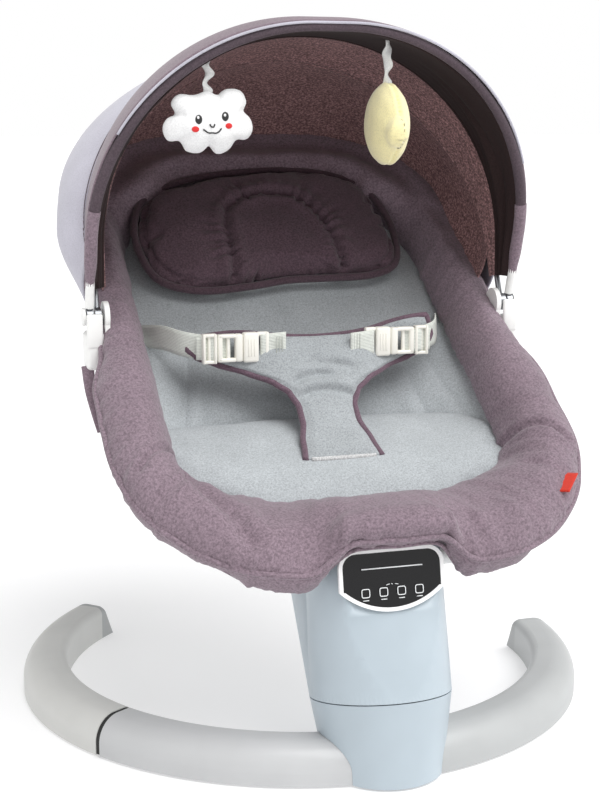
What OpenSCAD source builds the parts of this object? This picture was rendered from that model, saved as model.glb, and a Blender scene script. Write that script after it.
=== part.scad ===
// Electric baby swing: a C-shaped floor ring, a leaning swivel column and a
// padded sling seat on a tube loop, with a harness, a folding hood and two toys.
// Millimetres, +Z up, the front of the swing towards -Y.

/* [Floor ring] */
// Outer radius of the floor ring
ring_r = 294; // [284:2:300]
// Width of the ring's D-shaped tube
ring_w = 46; // [42:1:50]
// Height of the ring's tube above the floor
ring_h = 36; // [32:1:40]
// Where the left leg ends, in degrees from the front
ring_left = -131; // [-138:1:-128]
// Where the right leg ends, in degrees from the front
ring_right = 86; // [82:1:95]
// Where the left leg meets the front tube, in degrees from the front
ring_seam = -57; // [-60:1:-50]

/* [Column] */
// Angle at which the column leans back
lean = 11; // [9:1:13]
// Radius of the column at the swivel seam
seam_r = 66; // [65:1:68]
// Height of the seam's centre above the floor
seam_z = 67; // [64:1:70]
// Height of the swivelling head above the seam, along the column
head_h = 150; // [148:1:151]
// Thickness of the moulded shells
wall = 3; // [2.5:0.5:3.5]

/* [Seat] */
// Angle at which the seat's rim rises to the head end
rim_tilt = 34; // [33:0.5:35]
// Length of the padded rim
rim_l = 665; // [655:5:675]
// Half the distance between the side tubes, centre to centre
tube_x = 200; // [199:1:201]
// Outer radius of the seat's tube
tube_r = 8; // [7:0.5:8]

/* [Hood] */
// Angle of the front hoop above the horizontal, from the head end
hood_front = 107; // [104:1:110]
// Angle of the middle hoop above the horizontal, from the head end
hood_mid = 68; // [66:1:70]
// Height of the hoops above their pivots
hood_h = 290; // [285:5:295]

/* [Hidden] */
$fn = 48;

// The floor plan is drawn from the foot of the column, then moved to the frame's origin
foot_to_origin = 254;
ring_cx = -4;                      // ring centre beside the foot
ring_cy = 275;                    // and behind it
ring_in = ring_r - ring_w;
ring_mid = ring_r - ring_w / 2;
seam_y = 30;                      // seam centre behind the foot
gap = 0.3;                        // clearance between parts that slip into each other
pad_t = 2;                        // the floor pads lift the ring by this much
cup_reach = 6;                    // the ring's tubes end inside the column, this angle from its middle

// Seat rim: a point u along the rim from its front, b above the rim's plane
rim_y0 = -15;
rim_z0 = 190;
foot_inset = 40;                  // tube centre inside the padded edge at the foot
head_inset = 20;                  // and at the head end
corner_r = 130;                   // bend radius of the seat tube
loop_u0 = foot_inset;
loop_u1 = rim_l - head_inset;
tube_end_a = 20;                  // the foot bends stop this angle short of square
stub_l = 26;                      // straight swaged end of the tube inside its socket
stub_r = 7.5;

// Hood pivot, from the foot
hub_y = 260;
hub_z = 396;
hub_u = 333;                      // place of the hub's clip along the rim
hoop_r = 3;                       // radius of the hoop's rod
hoop_bend = 212;                  // bend radius of the hoops' shoulders
front_hoop_x = 225;
mid_hoop_x = 217;

// Column internals, in heights along the leaning axis
shaft_r = 10;
shaft_clear = 0.05;
socket_t = 124;                   // height of the seat sockets above the seam
panel_y = -47;                    // front plane of the head, from its axis
panel_t0 = 77;
panel_t1 = 143;
fin_y = 96;                       // centre of the fin's rounded back
fin_r = 56;

// Harness
belt_y = 226;                     // line of the buckles
belt_z = 364;
belt_w = 25;
belt_t = 1.6;
anchor_x = 168;
anchor_y = 300;
buckle_x = 78;                    // joint face of each buckle

module home() { translate([0, -foot_to_origin, pad_t]) children(); }
module on_ring(a0, a1) {
    translate([ring_cx, ring_cy, 0]) rotate([0, 0, a0 - 90]) rotate_extrude(angle = a1 - a0, $fn = 180) children();
}
module on_column() { translate([0, seam_y, seam_z]) rotate([-lean, 0, 0]) children(); }
module on_rim() { translate([0, rim_y0, rim_z0]) rotate([rim_tilt, 0, 0]) children(); }
module at_hub() { translate([0, hub_y, hub_z]) children(); }
module both_sides() { children(); mirror([1, 0, 0]) children(); }

// ---------------------------------------------------------------- floor ring
// D section: flat inner side, well rounded outer top edge
module ring_section(inset = 0) {
    x0 = ring_in + inset;
    x1 = ring_r - inset;
    z0 = inset;
    z1 = ring_h - inset;
    big = 24 - inset;
    small = 8 - inset;
    intersection() {
        union() {
            translate([x0, z0]) square([small, z1 - small - z0]);
            translate([x0 + small, z0]) square([x1 - big - x0 - small, z1 - z0]);
            translate([x1 - big, z0]) square([big, z1 - big - z0]);
            translate([x0 + small, z1 - small]) circle(small, $fn = 32);
            translate([x1 - big, z1 - big]) circle(big, $fn = 64);
        }
        translate([x0, z0]) square([x1 - x0, z1 - z0]);
    }
}
module ring_tube(a0, a1) {
    difference() {
        on_ring(a0, a1) ring_section();
        on_ring(a0 - 1, a1 + 1) ring_section(wall);
    }
}
module left_leg() color([0.74, 0.74, 0.72]) home() ring_tube(ring_left, ring_seam - 0.5);
module front_tube() color([0.66, 0.67, 0.68]) home() ring_tube(ring_seam + 0.5, -cup_reach);
module right_leg() color([0.84, 0.85, 0.85]) home() ring_tube(cup_reach, ring_right);
module leg_joint_band() color([0.12, 0.12, 0.12]) home() {
    on_ring(ring_seam - 0.5, ring_seam + 0.5) ring_section(0.8);
    on_ring(ring_seam - 7, ring_seam - 0.5) ring_section(wall + gap);
    on_ring(ring_seam + 0.5, ring_seam + 7) ring_section(wall + gap);
}
// Closed ends, cut to a slant so that the foot runs further than the top
module end_cap(a, way) {
    slant = 25;
    tip = a + way * 5;
    difference() {
        on_ring(min(a, tip), max(a, tip)) ring_section();
        translate([ring_cx, ring_cy, 0]) rotate([0, 0, tip - 90]) mirror([0, way < 0 ? 1 : 0, 0])
            rotate([slant, 0, 0]) translate([ring_mid - 50, 0, -20]) cube([100, 60, 100]);
    }
}
module end_caps() color([0.78, 0.79, 0.78]) home() {
    end_cap(ring_left, -1);
    end_cap(ring_right, 1);
}
pad_angles = [-132, -95, -50, 28, 60, 86];
module floor_pads() color([0.16, 0.16, 0.17]) home()
    for (a = pad_angles) translate([ring_cx, ring_cy, 0]) rotate([0, 0, a - 90])
        translate([ring_mid, 0, -pad_t]) cylinder(h = pad_t, r = 11);

// -------------------------------------------------------------------- column
module steel_spine() color([0.55, 0.56, 0.58]) home() difference() {
    on_ring(-24, 24) translate([ring_mid - 10, 8]) square([20, 14]);
    for (a = [-17, 17]) translate([ring_cx, ring_cy, 0]) rotate([0, 0, a - 90])
        translate([ring_mid, 0, 0]) cylinder(h = 60, r = 2.2);
}
module cup_body(inset, top) {
    h = 84;
    slope = (seam_r - 55) / 68;
    intersection() {
        on_column() translate([0, 0, -h])
            cylinder(h = h + top, r1 = seam_r - inset - slope * h, r2 = seam_r - inset + slope * top, $fn = 120);
        translate([-200, -200, 0]) cube([400, 400, 300]);
    }
}
module column_cup() color([0.76, 0.83, 0.87]) home() difference() {
    cup_body(0, -0.5);
    cup_body(wall, 2);
    for (s = [[-24, -5], [5, 24]]) on_ring(s[0], s[1]) ring_section(-gap);
    translate([0, 60, 17]) rotate([-90, 0, 0]) cylinder(h = 40, r = 6.5 + gap / 2);
}
module cup_floor() color([0.20, 0.21, 0.22]) home() difference() {
    intersection() {
        cup_body(wall + gap, 2);
        translate([-100, -100, 0]) cube([200, 200, 3]);
    }
    for (s = [[-30, -4], [4, 30]]) on_ring(s[0], s[1]) ring_section(-gap);
}
module pivot_post() color([0.62, 0.63, 0.65]) home() {
    intersection() {
        on_column() translate([0, 0, -60]) cylinder(h = 61, r = 14);
        translate([-50, -50, 22]) cube([100, 200, 100]);
    }
    on_column() translate([0, 0, -10]) cylinder(h = 82, r = shaft_r);
}
module thrust_washer() color([0.80, 0.70, 0.45]) home() on_column() translate([0, 0, 1]) difference() {
    cylinder(h = 2.6, r = 14);
    translate([0, 0, -1]) cylinder(h = 5, r = shaft_r + shaft_clear);
}
coil_y = -36;
module drive_coil() color([0.72, 0.42, 0.22]) home() on_column() translate([0, coil_y, -26]) difference() {
    cylinder(h = 16, r = 13);
    translate([0, 0, -1]) cylinder(h = 18, r = 5);
}
module coil_core() color([0.35, 0.36, 0.38]) home() on_column() translate([0, coil_y, -32]) {
    cylinder(h = 6, r = 14);
    cylinder(h = 22, r = 5);
}
module drive_board() color([0.10, 0.35, 0.20]) home() translate([-25, 68, 28]) cube([50, 1.6, 28]);
module power_inlet() color([0.10, 0.10, 0.10]) home() translate([0, 66, 17]) rotate([-90, 0, 0]) difference() {
    cylinder(h = 13, r = 6.5);
    translate([0, 0, 2]) cylinder(h = 12, r = 2.75);
}
module base_screws() color([0.70, 0.71, 0.72]) home() for (a = [-17, 17])
    translate([ring_cx, ring_cy, 0]) rotate([0, 0, a - 90]) translate([ring_mid, 0, wall + gap]) {
        cylinder(h = 18, r = 2);
        cylinder(h = 3, r = 4);
    }

// ---------------------------------------------------------------------- head
module head_body(inset, t0, t1) {
    intersection() {
        translate([0, 0, t0]) cylinder(h = t1 - t0, r1 = seam_r - inset, r2 = 62 - inset, $fn = 120);
        rotate([90, 0, 90]) translate([0, 0, -100]) linear_extrude(200)
            polygon([[panel_y + inset, t1 + 1], [panel_y + inset, panel_t0], [-seam_r - 1 + inset, t0],
                     [-seam_r - 1, t0 - 1], [seam_r + 1, t0 - 1], [seam_r + 1, t1 + 1]]);
    }
    // The back of the head spreads into a fin under the seat
    hull() {
        translate([0, 0, t0]) cylinder(h = 1, r = seam_r - inset, $fn = 96);
        translate([0, fin_y, t1 - 26 + inset]) cylinder(h = 26 - inset, r = fin_r - inset, $fn = 96);
    }
}
module head_shell(front) {
    y0 = front ? -100 : gap / 2;
    on_column() difference() {
        head_body(0, 0.5, head_h);
        head_body(wall, 0.4, head_h - wall);
        rotate([0, 90, 0]) translate([-socket_t, 0, -100]) cylinder(h = 200, r = 12 + gap);
        translate([-100, front ? 0 : -100, -1]) cube([200, front ? 200 : 100, 200]);
        if (front) panel_recess(gap);
    }
}
panel_w = 100;
module panel_outline(grow) {
    // Rounded D: straight top, full round bottom
    r = 16;
    x = panel_w / 2 - r;
    union() {
        translate([-x - r - grow, 100]) square([2 * (x + r + grow), panel_t1 - 6 - r - 100]);
        translate([-x, panel_t1 - 6 - r]) square([2 * x, r + grow]);
        for (s = [-1, 1]) translate([s * x, panel_t1 - 6 - r]) circle(r + grow);
        intersection() {
            translate([0, 152.5]) circle(72.5 + grow, $fn = 128);
            translate([-x - r - grow, 70]) square([2 * (x + r + grow), 30]);
        }
    }
}
module panel_recess(grow) {
    translate([0, panel_y + 1, 0]) rotate([90, 0, 0]) linear_extrude(20) panel_outline(grow);
    translate([0, panel_y + 8, 0]) rotate([90, 0, 0]) linear_extrude(8) panel_outline(grow - 4);
}
module head_front_shell() color([0.78, 0.85, 0.89]) home() head_shell(true);
module head_rear_shell() color([0.78, 0.85, 0.89]) home() head_shell(false);
module panel_bezel() color([0.95, 0.96, 0.97]) home() on_column()
    translate([0, panel_y + 1, 0]) rotate([90, 0, 0]) difference() {
        linear_extrude(4) panel_outline(0);
        translate([0, 0, -1]) linear_extrude(6) panel_outline(-3.5);
    }
module panel_lens() color([0.06, 0.06, 0.07]) home() on_column()
    translate([0, panel_y + 1, 0]) rotate([90, 0, 0]) linear_extrude(3) panel_outline(-3.6);
module control_board() color([0.10, 0.35, 0.20]) home() on_column()
    translate([-30, panel_y + 7, 88]) cube([60, 1.6, 30]);
module speaker() color([0.15, 0.15, 0.16]) home() on_column() translate([0, 40, 84]) rotate([-90, 0, 0]) {
    cylinder(h = 5, r = 16);
    translate([0, 0, 5]) cylinder(h = 6, r1 = 16, r2 = 18);
}
module drive_magnet() color([0.50, 0.51, 0.53]) home() on_column() translate([0, coil_y, 2]) cylinder(h = 6, r = 12);
module bush(t) {
    on_column() translate([0, 0, t]) difference() {
        cylinder(h = 12, r = 15);
        translate([0, 0, -1]) cylinder(h = 14, r = shaft_r + shaft_clear);
    }
}
module lower_bush() color([0.85, 0.84, 0.78]) home() bush(6);
module upper_bush() color([0.85, 0.84, 0.78]) home() bush(46);
module swing_carrier() color([0.48, 0.49, 0.52]) home() on_column() difference() {
    union() {
        translate([0, 0, 6]) cylinder(h = 74, r = 19);
        translate([-40, -10, 76]) cube([80, 20, 6]);
        for (s = [-1, 1]) translate([s * 40 - 3, -10, 76]) cube([6, 20, socket_t - 66]);
        translate([-14, coil_y - 14, 8]) cube([28, 36, 4]);
    }
    translate([0, 0, 5]) cylinder(h = 13, r = 15);
    translate([0, 0, 17]) cylinder(h = 30, r = 12);
    translate([0, 0, 46]) cylinder(h = 30, r = 15);
    rotate([0, 90, 0]) translate([-socket_t, 0, -60]) cylinder(h = 120, r = 6.2);
}
module retaining_clip() color([0.30, 0.31, 0.33]) home() on_column() translate([0, 0, 58.5]) difference() {
    cylinder(h = 1.5, r = 14);
    translate([0, 0, -1]) cylinder(h = 4, r = shaft_r + shaft_clear);
}
module head_screws() color([0.70, 0.71, 0.72]) home() on_column()
    for (s = [-1, 1]) translate([s * 45, 0, 30]) rotate([90, 0, 0]) translate([0, 0, -16]) {
        cylinder(h = 32, r = 2);
        cylinder(h = 3, r = 4);
    }

// ------------------------------------------------------------- sockets, tube
module rod(a, b, r) {
    d = b - a;
    l = norm(d);
    translate(a) rotate([0, acos(d[2] / l), atan2(d[1], d[0])]) cylinder(h = l, r = r);
}
function rim_point(x, u, b = 0) = [x, rim_y0 + u * cos(rim_tilt) - b * sin(rim_tilt),
    rim_z0 + u * sin(rim_tilt) + b * cos(rim_tilt)];
bend_x = tube_x - corner_r;
stub_start = [bend_x + corner_r * sin(tube_end_a), loop_u0 + corner_r * (1 - cos(tube_end_a))];
stub_end = stub_start - stub_l * [cos(tube_end_a), sin(tube_end_a)];
socket_foot = [seam_y + socket_t * sin(lean), seam_z + socket_t * cos(lean)];
module socket() {
    knee = [80, socket_foot[0], socket_foot[1]];
    start = rim_point(stub_start[0], stub_start[1]);
    end = rim_point(stub_end[0], stub_end[1]);
    difference() {
        union() {
            rod([44, knee[1], knee[2]], knee, 12);
            translate(knee) sphere(12.5);
            rod(knee, end, 12);
            translate(end) sphere(12.5);
            rod(end, start, 12);
        }
        rod(end, start + (start - end), stub_r + 0.1);
        rod([30, knee[1], knee[2]], [70, knee[1], knee[2]], 6.2);
    }
}
module left_socket() color([0.95, 0.95, 0.93]) home() mirror([1, 0, 0]) socket();
module right_socket() color([0.95, 0.95, 0.93]) home() socket();
module tube_corner(u, a0, sweep) {
    translate([bend_x, u, 0]) rotate([0, 0, a0])
        rotate_extrude(angle = sweep, $fn = 96) translate([corner_r, 0]) circle(tube_r);
}
module side_tube() {
    on_rim() {
        translate([stub_end[0], stub_end[1], 0]) rotate([0, 90, tube_end_a]) cylinder(h = stub_l + 2, r = stub_r);
        tube_corner(loop_u0 + corner_r, tube_end_a - 90, 90 - tube_end_a);
        translate([tube_x, loop_u0 + corner_r, 0]) rotate([-90, 0, 0])
            cylinder(h = hub_u + 24 - loop_u0 - corner_r, r = tube_r);
        // Solid core that joins the bend to the straight
        translate([tube_x, loop_u0 + corner_r - 3, 0]) rotate([-90, 0, 0]) cylinder(h = 6, r = tube_r - 1.5);
    }
}
module bow() {
    on_rim() {
        tube_corner(loop_u1 - corner_r, 0, 90);
        translate([tube_x, hub_u + 24.3, 0]) rotate([-90, 0, 0])
            cylinder(h = loop_u1 - corner_r - hub_u - 24.3, r = tube_r);
        translate([0, loop_u1, 0]) rotate([0, 90, 0]) cylinder(h = bend_x, r = tube_r);
    }
}
module left_seat_tube() color([0.60, 0.61, 0.63]) home() mirror([1, 0, 0]) side_tube();
module right_seat_tube() color([0.60, 0.61, 0.63]) home() side_tube();
module head_bow() color([0.60, 0.61, 0.63]) home() both_sides() bow();
module bow_screws() color([0.70, 0.71, 0.72]) home() both_sides() on_rim()
    translate([tube_x, hub_u + 12, -tube_r]) rotate([180, 0, 0]) cylinder(h = 2.5, r = 3.5);

// ---------------------------------------------------------------- hood hubs
// A sleeve on the seat tube carries an upright cheek with the hood's pivot pin
hub_pin_r = 3;
cheek_x = 206.5;
module hub() {
    difference() {
        union() {
            on_rim() translate([tube_x, hub_u - 14, 0]) rotate([-90, 0, 0]) cylinder(h = 22, r = 12.1);
            translate([cheek_x, hub_y - 13, hub_z - 26]) cube([5, 26, 26]);
            translate([cheek_x, hub_y, hub_z]) rotate([0, 90, 0]) cylinder(h = 5, r = 15);
        }
        on_rim() translate([tube_x, hub_u - 20, 0]) rotate([-90, 0, 0]) cylinder(h = 60, r = tube_r);
    }
    translate([cheek_x + 4, hub_y, hub_z]) rotate([0, 90, 0]) cylinder(h = 21, r = hub_pin_r);
    translate([cheek_x + 23, hub_y, hub_z]) rotate([0, 90, 0]) cylinder(h = 2.5, r = 9);
}
module left_hub() color([0.96, 0.96, 0.94]) home() mirror([1, 0, 0]) hub();
module right_hub() color([0.96, 0.96, 0.94]) home() hub();

// -------------------------------------------------------------- padded rim
// Rings of the rim's section follow the tube loop. Each entry is
// [x, u, outward x, outward u].
corner_steps = 8;
function corner(cx, cu, a0) = [for (i = [0:corner_steps]) let (a = a0 + 90 * i / corner_steps)
    [cx + corner_r * cos(a), cu + corner_r * sin(a), cos(a), sin(a)]];
foot_cu = loop_u0 + corner_r;
head_cu = loop_u1 - corner_r;
side_us = [220, 270, 310, 345, 390, 450];
rim_path = concat(
    [for (x = [-60, -45, -30, -15, 0, 15, 30, 45, 60]) [x, loop_u0, 0, -1]],
    corner(bend_x, foot_cu, -90),
    [for (i = [0:5]) [tube_x, side_us[i], 1, 0]],
    corner(bend_x, head_cu, 0),
    [[0, loop_u1, 0, 1]],
    corner(-bend_x, head_cu, 90),
    [for (i = [5:-1:0]) [-tube_x, side_us[i], -1, 0]],
    corner(-bend_x, foot_cu, 180));
// Section from the piping over the crown to the inner edge, back under and round the tube
rim_section = [[30, 1], [23, 13], [8, 20], [-8, 18], [-20, 5], [-29, -14], [-36, -31], [-31, -37],
    [-24, -22], [-18, -14], [-14.6, -14], [-13.6, 0], [-9, 10.2], [0, 13.6], [9, 10.2], [13.6, 0],
    [14.2, -18], [22, -21], [27, -10]];
function smooth(x) = let (k = max(0, min(1, x))) k * k * (3 - 2 * k);
// The rim is wide at the foot, slim under the hood, and arches over the column's head
function inner_gain(u) = 1 + 2.1 * smooth((175 - u) / 130);
function outer_gain(u) = 1 - 0.95 * smooth((u - 250) / 70);
function over_head(x, u) = u < 60 ? smooth((84 - abs(x)) / 38) : 0;
function section_point(p, s) = let (
    k = over_head(p[0], p[1]),
    a = s[0] < -14.6 ? -14.6 + (s[0] + 14.6) * inner_gain(p[1])
      : s[0] > 14.3 ? 14.3 + (s[0] - 14.3) * min(outer_gain(p[1]), 1 - 0.85 * k) : s[0],
    b = s[1] + 34 * k + (s[1] < -15 && s[0] > 0 ? 12 * k : 0))
    rim_point(p[0] + a * p[2], p[1] + a * p[3], b);
module ring_loft(path, section) {
    n = len(path);
    m = len(section);
    polyhedron(points = [for (p = path) for (s = section) section_point(p, s)],
        faces = [for (i = [0:n - 1]) for (j = [0:m - 1]) for (k = [0, 1])
            let (i2 = (i + 1) % n, j2 = (j + 1) % m)
            k == 0 ? [i * m + j, i2 * m + j, i2 * m + j2] : [i * m + j, i2 * m + j2, i * m + j2]],
        convexity = 8);
}
module padded_rim() color([0.45, 0.38, 0.42]) home() difference() {
    ring_loft(rim_path, rim_section);
    both_sides() translate([cheek_x - 4, hub_y - 22, hub_z - 60]) cube([40, 40, 80]);
    both_sides() translate([60, -10, 120]) cube([70, 60, 98]);
}

// ------------------------------------------------------------------- sling
// Side view of the sling: foot edge, fold, head edge
sling_foot = [109, 235.5];
sling_fold = [240, 283];
sling_head = [486, 530];
sling_t = 10;
sling_x = 160;
module strip(a, b, t) {
    d = (b - a) / norm(b - a);
    n = [d[1], -d[0]];
    rotate([90, 0, 90]) translate([0, 0, -sling_x]) linear_extrude(2 * sling_x)
        polygon([a, b, b + t * n, a + t * n]);
}
module sling_plan(y0, y1, r) {
    translate([0, 0, 100]) linear_extrude(500) union() {
        translate([-sling_x, y0 + r]) square([2 * sling_x, y1 - y0 - r]);
        translate([-sling_x + r, y0]) square([2 * sling_x - 2 * r, r + 1]);
        for (s = [-1, 1]) translate([s * (sling_x - r), y0 + r]) circle(r, $fn = 64);
    }
}
module seat_panel() color([0.66, 0.67, 0.68]) home() intersection() {
    strip(sling_foot, sling_fold - [0.3, 0.2], sling_t);
    sling_plan(sling_foot[0], sling_fold[0] + 20, 82);
}
module back_panel() color([0.55, 0.55, 0.55]) home() intersection() {
    strip(sling_fold + [0.3, 0.4], sling_head, sling_t);
    mirror([0, 1, 0]) translate([0, -sling_head[0] - sling_fold[0], 0])
        sling_plan(sling_fold[0], sling_head[0] + 30, 60);
}
module pillow() color([0.30, 0.26, 0.29]) home() {
    back = atan2(sling_head[1] - sling_fold[1], sling_head[0] - sling_fold[0]);
    along = (sling_head - sling_fold) / norm(sling_head - sling_fold);
    start = sling_fold + along * 152;
    translate([0, start[0], start[1]]) rotate([back, 0, 0]) translate([0, 0, gap]) linear_extrude(24) union() {
        translate([-134, 40]) square([268, 80]);
        translate([-94, 0]) square([188, 160]);
        for (s = [-1, 1], v = [40, 120]) translate([s * 94, v]) circle(40);
    }
}

// ----------------------------------------------------------------- harness
pad_low = [150, 262];
module crotch_pad() color([0.55, 0.54, 0.55]) home() {
    d = [belt_y - pad_low[0], belt_z - pad_low[1]];
    translate([0, pad_low[0], pad_low[1]]) rotate([atan2(d[1], d[0]), 0, 0]) translate([0, 0, -3])
        linear_extrude(7) polygon([[-36, 0], [36, 0], [28, 48], [54, 92], [55, 122], [-55, 122], [-54, 92], [-28, 48]]);
    // Crossbar behind the buckles
    translate([-54, belt_y - 5, belt_z - 11]) cube([108, 12, 8]);
    translate([-116, belt_y + 6.3, belt_z - 13]) cube([232, 5, 26]);
}
webbing_end = buckle_x + 42;
module webbing() {
    a = [webbing_end, belt_y + 4];
    b = [anchor_x - 19, anchor_y];
    translate([0, 0, belt_z - belt_w / 2]) linear_extrude(belt_w)
        polygon([a, b, b + [0.4, belt_t], a + [-0.4, belt_t]]);
}
module left_webbing() color([0.88, 0.86, 0.82]) home() mirror([1, 0, 0]) webbing();
module right_webbing() color([0.88, 0.86, 0.82]) home() webbing();
module buckle_socket() {
    translate([57, belt_y - 5, belt_z - 15]) difference() {
        cube([buckle_x - 57, 10, 30]);
        translate([2, 2.5, 4]) cube([40, 5, 22]);
    }
}
module left_buckle_socket() color([0.90, 0.89, 0.85]) home() mirror([1, 0, 0]) buckle_socket();
module right_buckle_socket() color([0.90, 0.89, 0.85]) home() buckle_socket();
module buckle_plug() {
    translate([buckle_x + 0.3, belt_y - 5, belt_z - 15]) difference() {
        cube([26, 10, 30]);
        translate([16, -1, 2]) cube([6, 12, 26]);
    }
    for (v = [-9, 6]) translate([59.5, belt_y - 2, belt_z + v]) cube([buckle_x - 59, 4, 3]);
}
module left_buckle_plug() color([0.90, 0.89, 0.85]) home() mirror([1, 0, 0]) buckle_plug();
module right_buckle_plug() color([0.90, 0.89, 0.85]) home() buckle_plug();
module slider() {
    translate([buckle_x + 27, belt_y - 4, belt_z - 15]) difference() {
        cube([14, 8, 30]);
        translate([4, -1, 3]) cube([6, 10, 24]);
    }
}
module left_slider() color([0.90, 0.89, 0.85]) home() mirror([1, 0, 0]) slider();
module right_slider() color([0.90, 0.89, 0.85]) home() slider();
module rim_tab() color([0.84, 0.24, 0.18]) home() on_rim()
    translate([176, 84, 22]) rotate([0, 40, -48]) translate([-1, -13, 0]) cube([2, 26, 12]);

// -------------------------------------------------------------------- hood
// Arch of a hoop in its own plane: straight legs, bent shoulders and a flat top
module hoop_rod(x, h, r) {
    leg = h - hoop_bend;
    rotate([90, 0, 0]) both_sides() {
        translate([x, 0, 0]) rotate([-90, 0, 0]) cylinder(h = leg, r = r);
        translate([x - hoop_bend, leg, 0]) rotate_extrude(angle = 90, $fn = 96) translate([hoop_bend, 0]) circle(r, $fn = 24);
        translate([0, h, 0]) rotate([0, 90, 0]) cylinder(h = x - hoop_bend, r = r);
    }
}
// Quarter of the arch between the pivots' line and a hoop of this width and height
module arch_outline(x, h) {
    intersection() {
        union() {
            square([x, h - hoop_bend]);
            translate([0, h - hoop_bend - 1]) square([x - hoop_bend, hoop_bend + 1]);
            translate([x - hoop_bend, h - hoop_bend]) circle(hoop_bend, $fn = 160);
        }
        square([x + 1, h + 1]);
    }
}
module hood_shell(x, h, t, a0, a1) {
    // A shell of revolution about the pivots' line, from angle a0 to a1
    start = 30;
    at_hub() rotate([a0, 0, 0]) rotate([90, 0, 0]) rotate([0, 90, 0]) both_sides_z()
        rotate_extrude(angle = a1 - a0, $fn = 160) intersection() {
            difference() {
                swap() arch_outline(x, h);
                swap() arch_outline(x - t, h - t);
            }
            translate([start, 0]) square([400, 400]);
        }
}
module swap() { mirror([1, -1, 0]) children(); }
module both_sides_z() { children(); mirror([0, 0, 1]) children(); }
module hoop_eye(x, t) {
    translate([x, 0, 0]) rotate([0, 90, 0]) difference() {
        cylinder(h = t, r = 9);
        translate([0, 0, -1]) cylinder(h = t + 2, r = hub_pin_r + 0.1);
    }
}
module hoop(x, h, a) {
    at_hub() rotate([a - 90, 0, 0]) difference() {
        union() {
            hoop_rod(x, h, hoop_r);
            both_sides() hoop_eye(x - 3, 6);
        }
        rotate([0, 90, 0]) translate([0, 0, -300]) cylinder(h = 600, r = hub_pin_r + 0.1);
    }
}
module middle_hoop() color([0.30, 0.30, 0.31]) home() hoop(mid_hoop_x, hood_h - 9, hood_mid);
module front_hoop() color([0.30, 0.30, 0.31]) home() hoop(front_hoop_x, hood_h, hood_front);
module middle_hood_panel() color([0.36, 0.29, 0.32]) home()
    hood_shell(mid_hoop_x + 5.2, hood_h - 4, 1.8, 61, 79);
module front_hood_panel() color([0.45, 0.38, 0.42]) home()
    hood_shell(front_hoop_x + 5.3, hood_h + 5.3, 2, 87, hood_front);
module rear_hood_panel() color([0.62, 0.60, 0.66]) home()
    hood_shell(front_hoop_x + 8, hood_h + 30, 2, 36.5, 57);

// -------------------------------------------------------------------- toys
// Each toy hangs on a ribbon from a stitched loop behind the front hoop
hang_a = 104;
cloud_hang = [-118, 262, 35];     // across, radius from the hood's pivots, length of the ribbon
moon_hang = [61, 273, 41];
function hang_y(h) = hub_y + h[1] * cos(hang_a);
function hang_z(h) = hub_z + h[1] * sin(hang_a);
module ribbon(h) {
    translate([h[0] - 5, hang_y(h) - 1, hang_z(h) - h[2]]) cube([10, 2, h[2]]);
    translate([h[0] - 5, hang_y(h), hang_z(h)]) rotate([0, 90, 0]) cylinder(h = 10, r = 1.5);
}
module cloud_ribbon() color([0.96, 0.96, 0.95]) home() ribbon(cloud_hang);
module moon_ribbon() color([0.96, 0.95, 0.90]) home() ribbon(moon_hang);
module cloud_toy() color([0.97, 0.97, 0.97]) home()
    translate([cloud_hang[0], hang_y(cloud_hang), hang_z(cloud_hang) - cloud_hang[2] - 30])
        rotate([90, 0, 0]) translate([0, 0, -13]) linear_extrude(26) union() {
            circle(30);
            for (s = [-1, 1]) translate([s * 26, -4]) circle(19);
            translate([-30, -23]) square([60, 19]);
        }
module moon_toy() color([0.94, 0.88, 0.65]) home()
    translate([moon_hang[0], hang_y(moon_hang), hang_z(moon_hang) - moon_hang[2] - 37])
        rotate([0, 90, 0]) translate([0, 0, -19]) cylinder(h = 38, r = 37);

left_leg();
front_tube();
right_leg();
leg_joint_band();
end_caps();
floor_pads();
steel_spine();
column_cup();
cup_floor();
pivot_post();
thrust_washer();
drive_coil();
coil_core();
drive_board();
power_inlet();
base_screws();
head_front_shell();
head_rear_shell();
panel_bezel();
panel_lens();
control_board();
speaker();
drive_magnet();
lower_bush();
upper_bush();
swing_carrier();
retaining_clip();
head_screws();
left_socket();
right_socket();
left_seat_tube();
right_seat_tube();
head_bow();
bow_screws();
left_hub();
right_hub();
padded_rim();
seat_panel();
back_panel();
pillow();
crotch_pad();
left_webbing();
right_webbing();
left_buckle_socket();
right_buckle_socket();
rim_tab();
rear_hood_panel();
left_buckle_plug();
right_buckle_plug();
left_slider();
right_slider();
middle_hoop();
middle_hood_panel();
front_hoop();
front_hood_panel();
cloud_toy();
cloud_ribbon();
moon_toy();
moon_ribbon();
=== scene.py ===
import math

import bmesh
import bpy
from bpy.props import FloatProperty, FloatVectorProperty, PointerProperty
from mathutils import Matrix, Vector, noise
from mathutils.bvhtree import BVHTree
from mathutils.kdtree import KDTree


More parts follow.
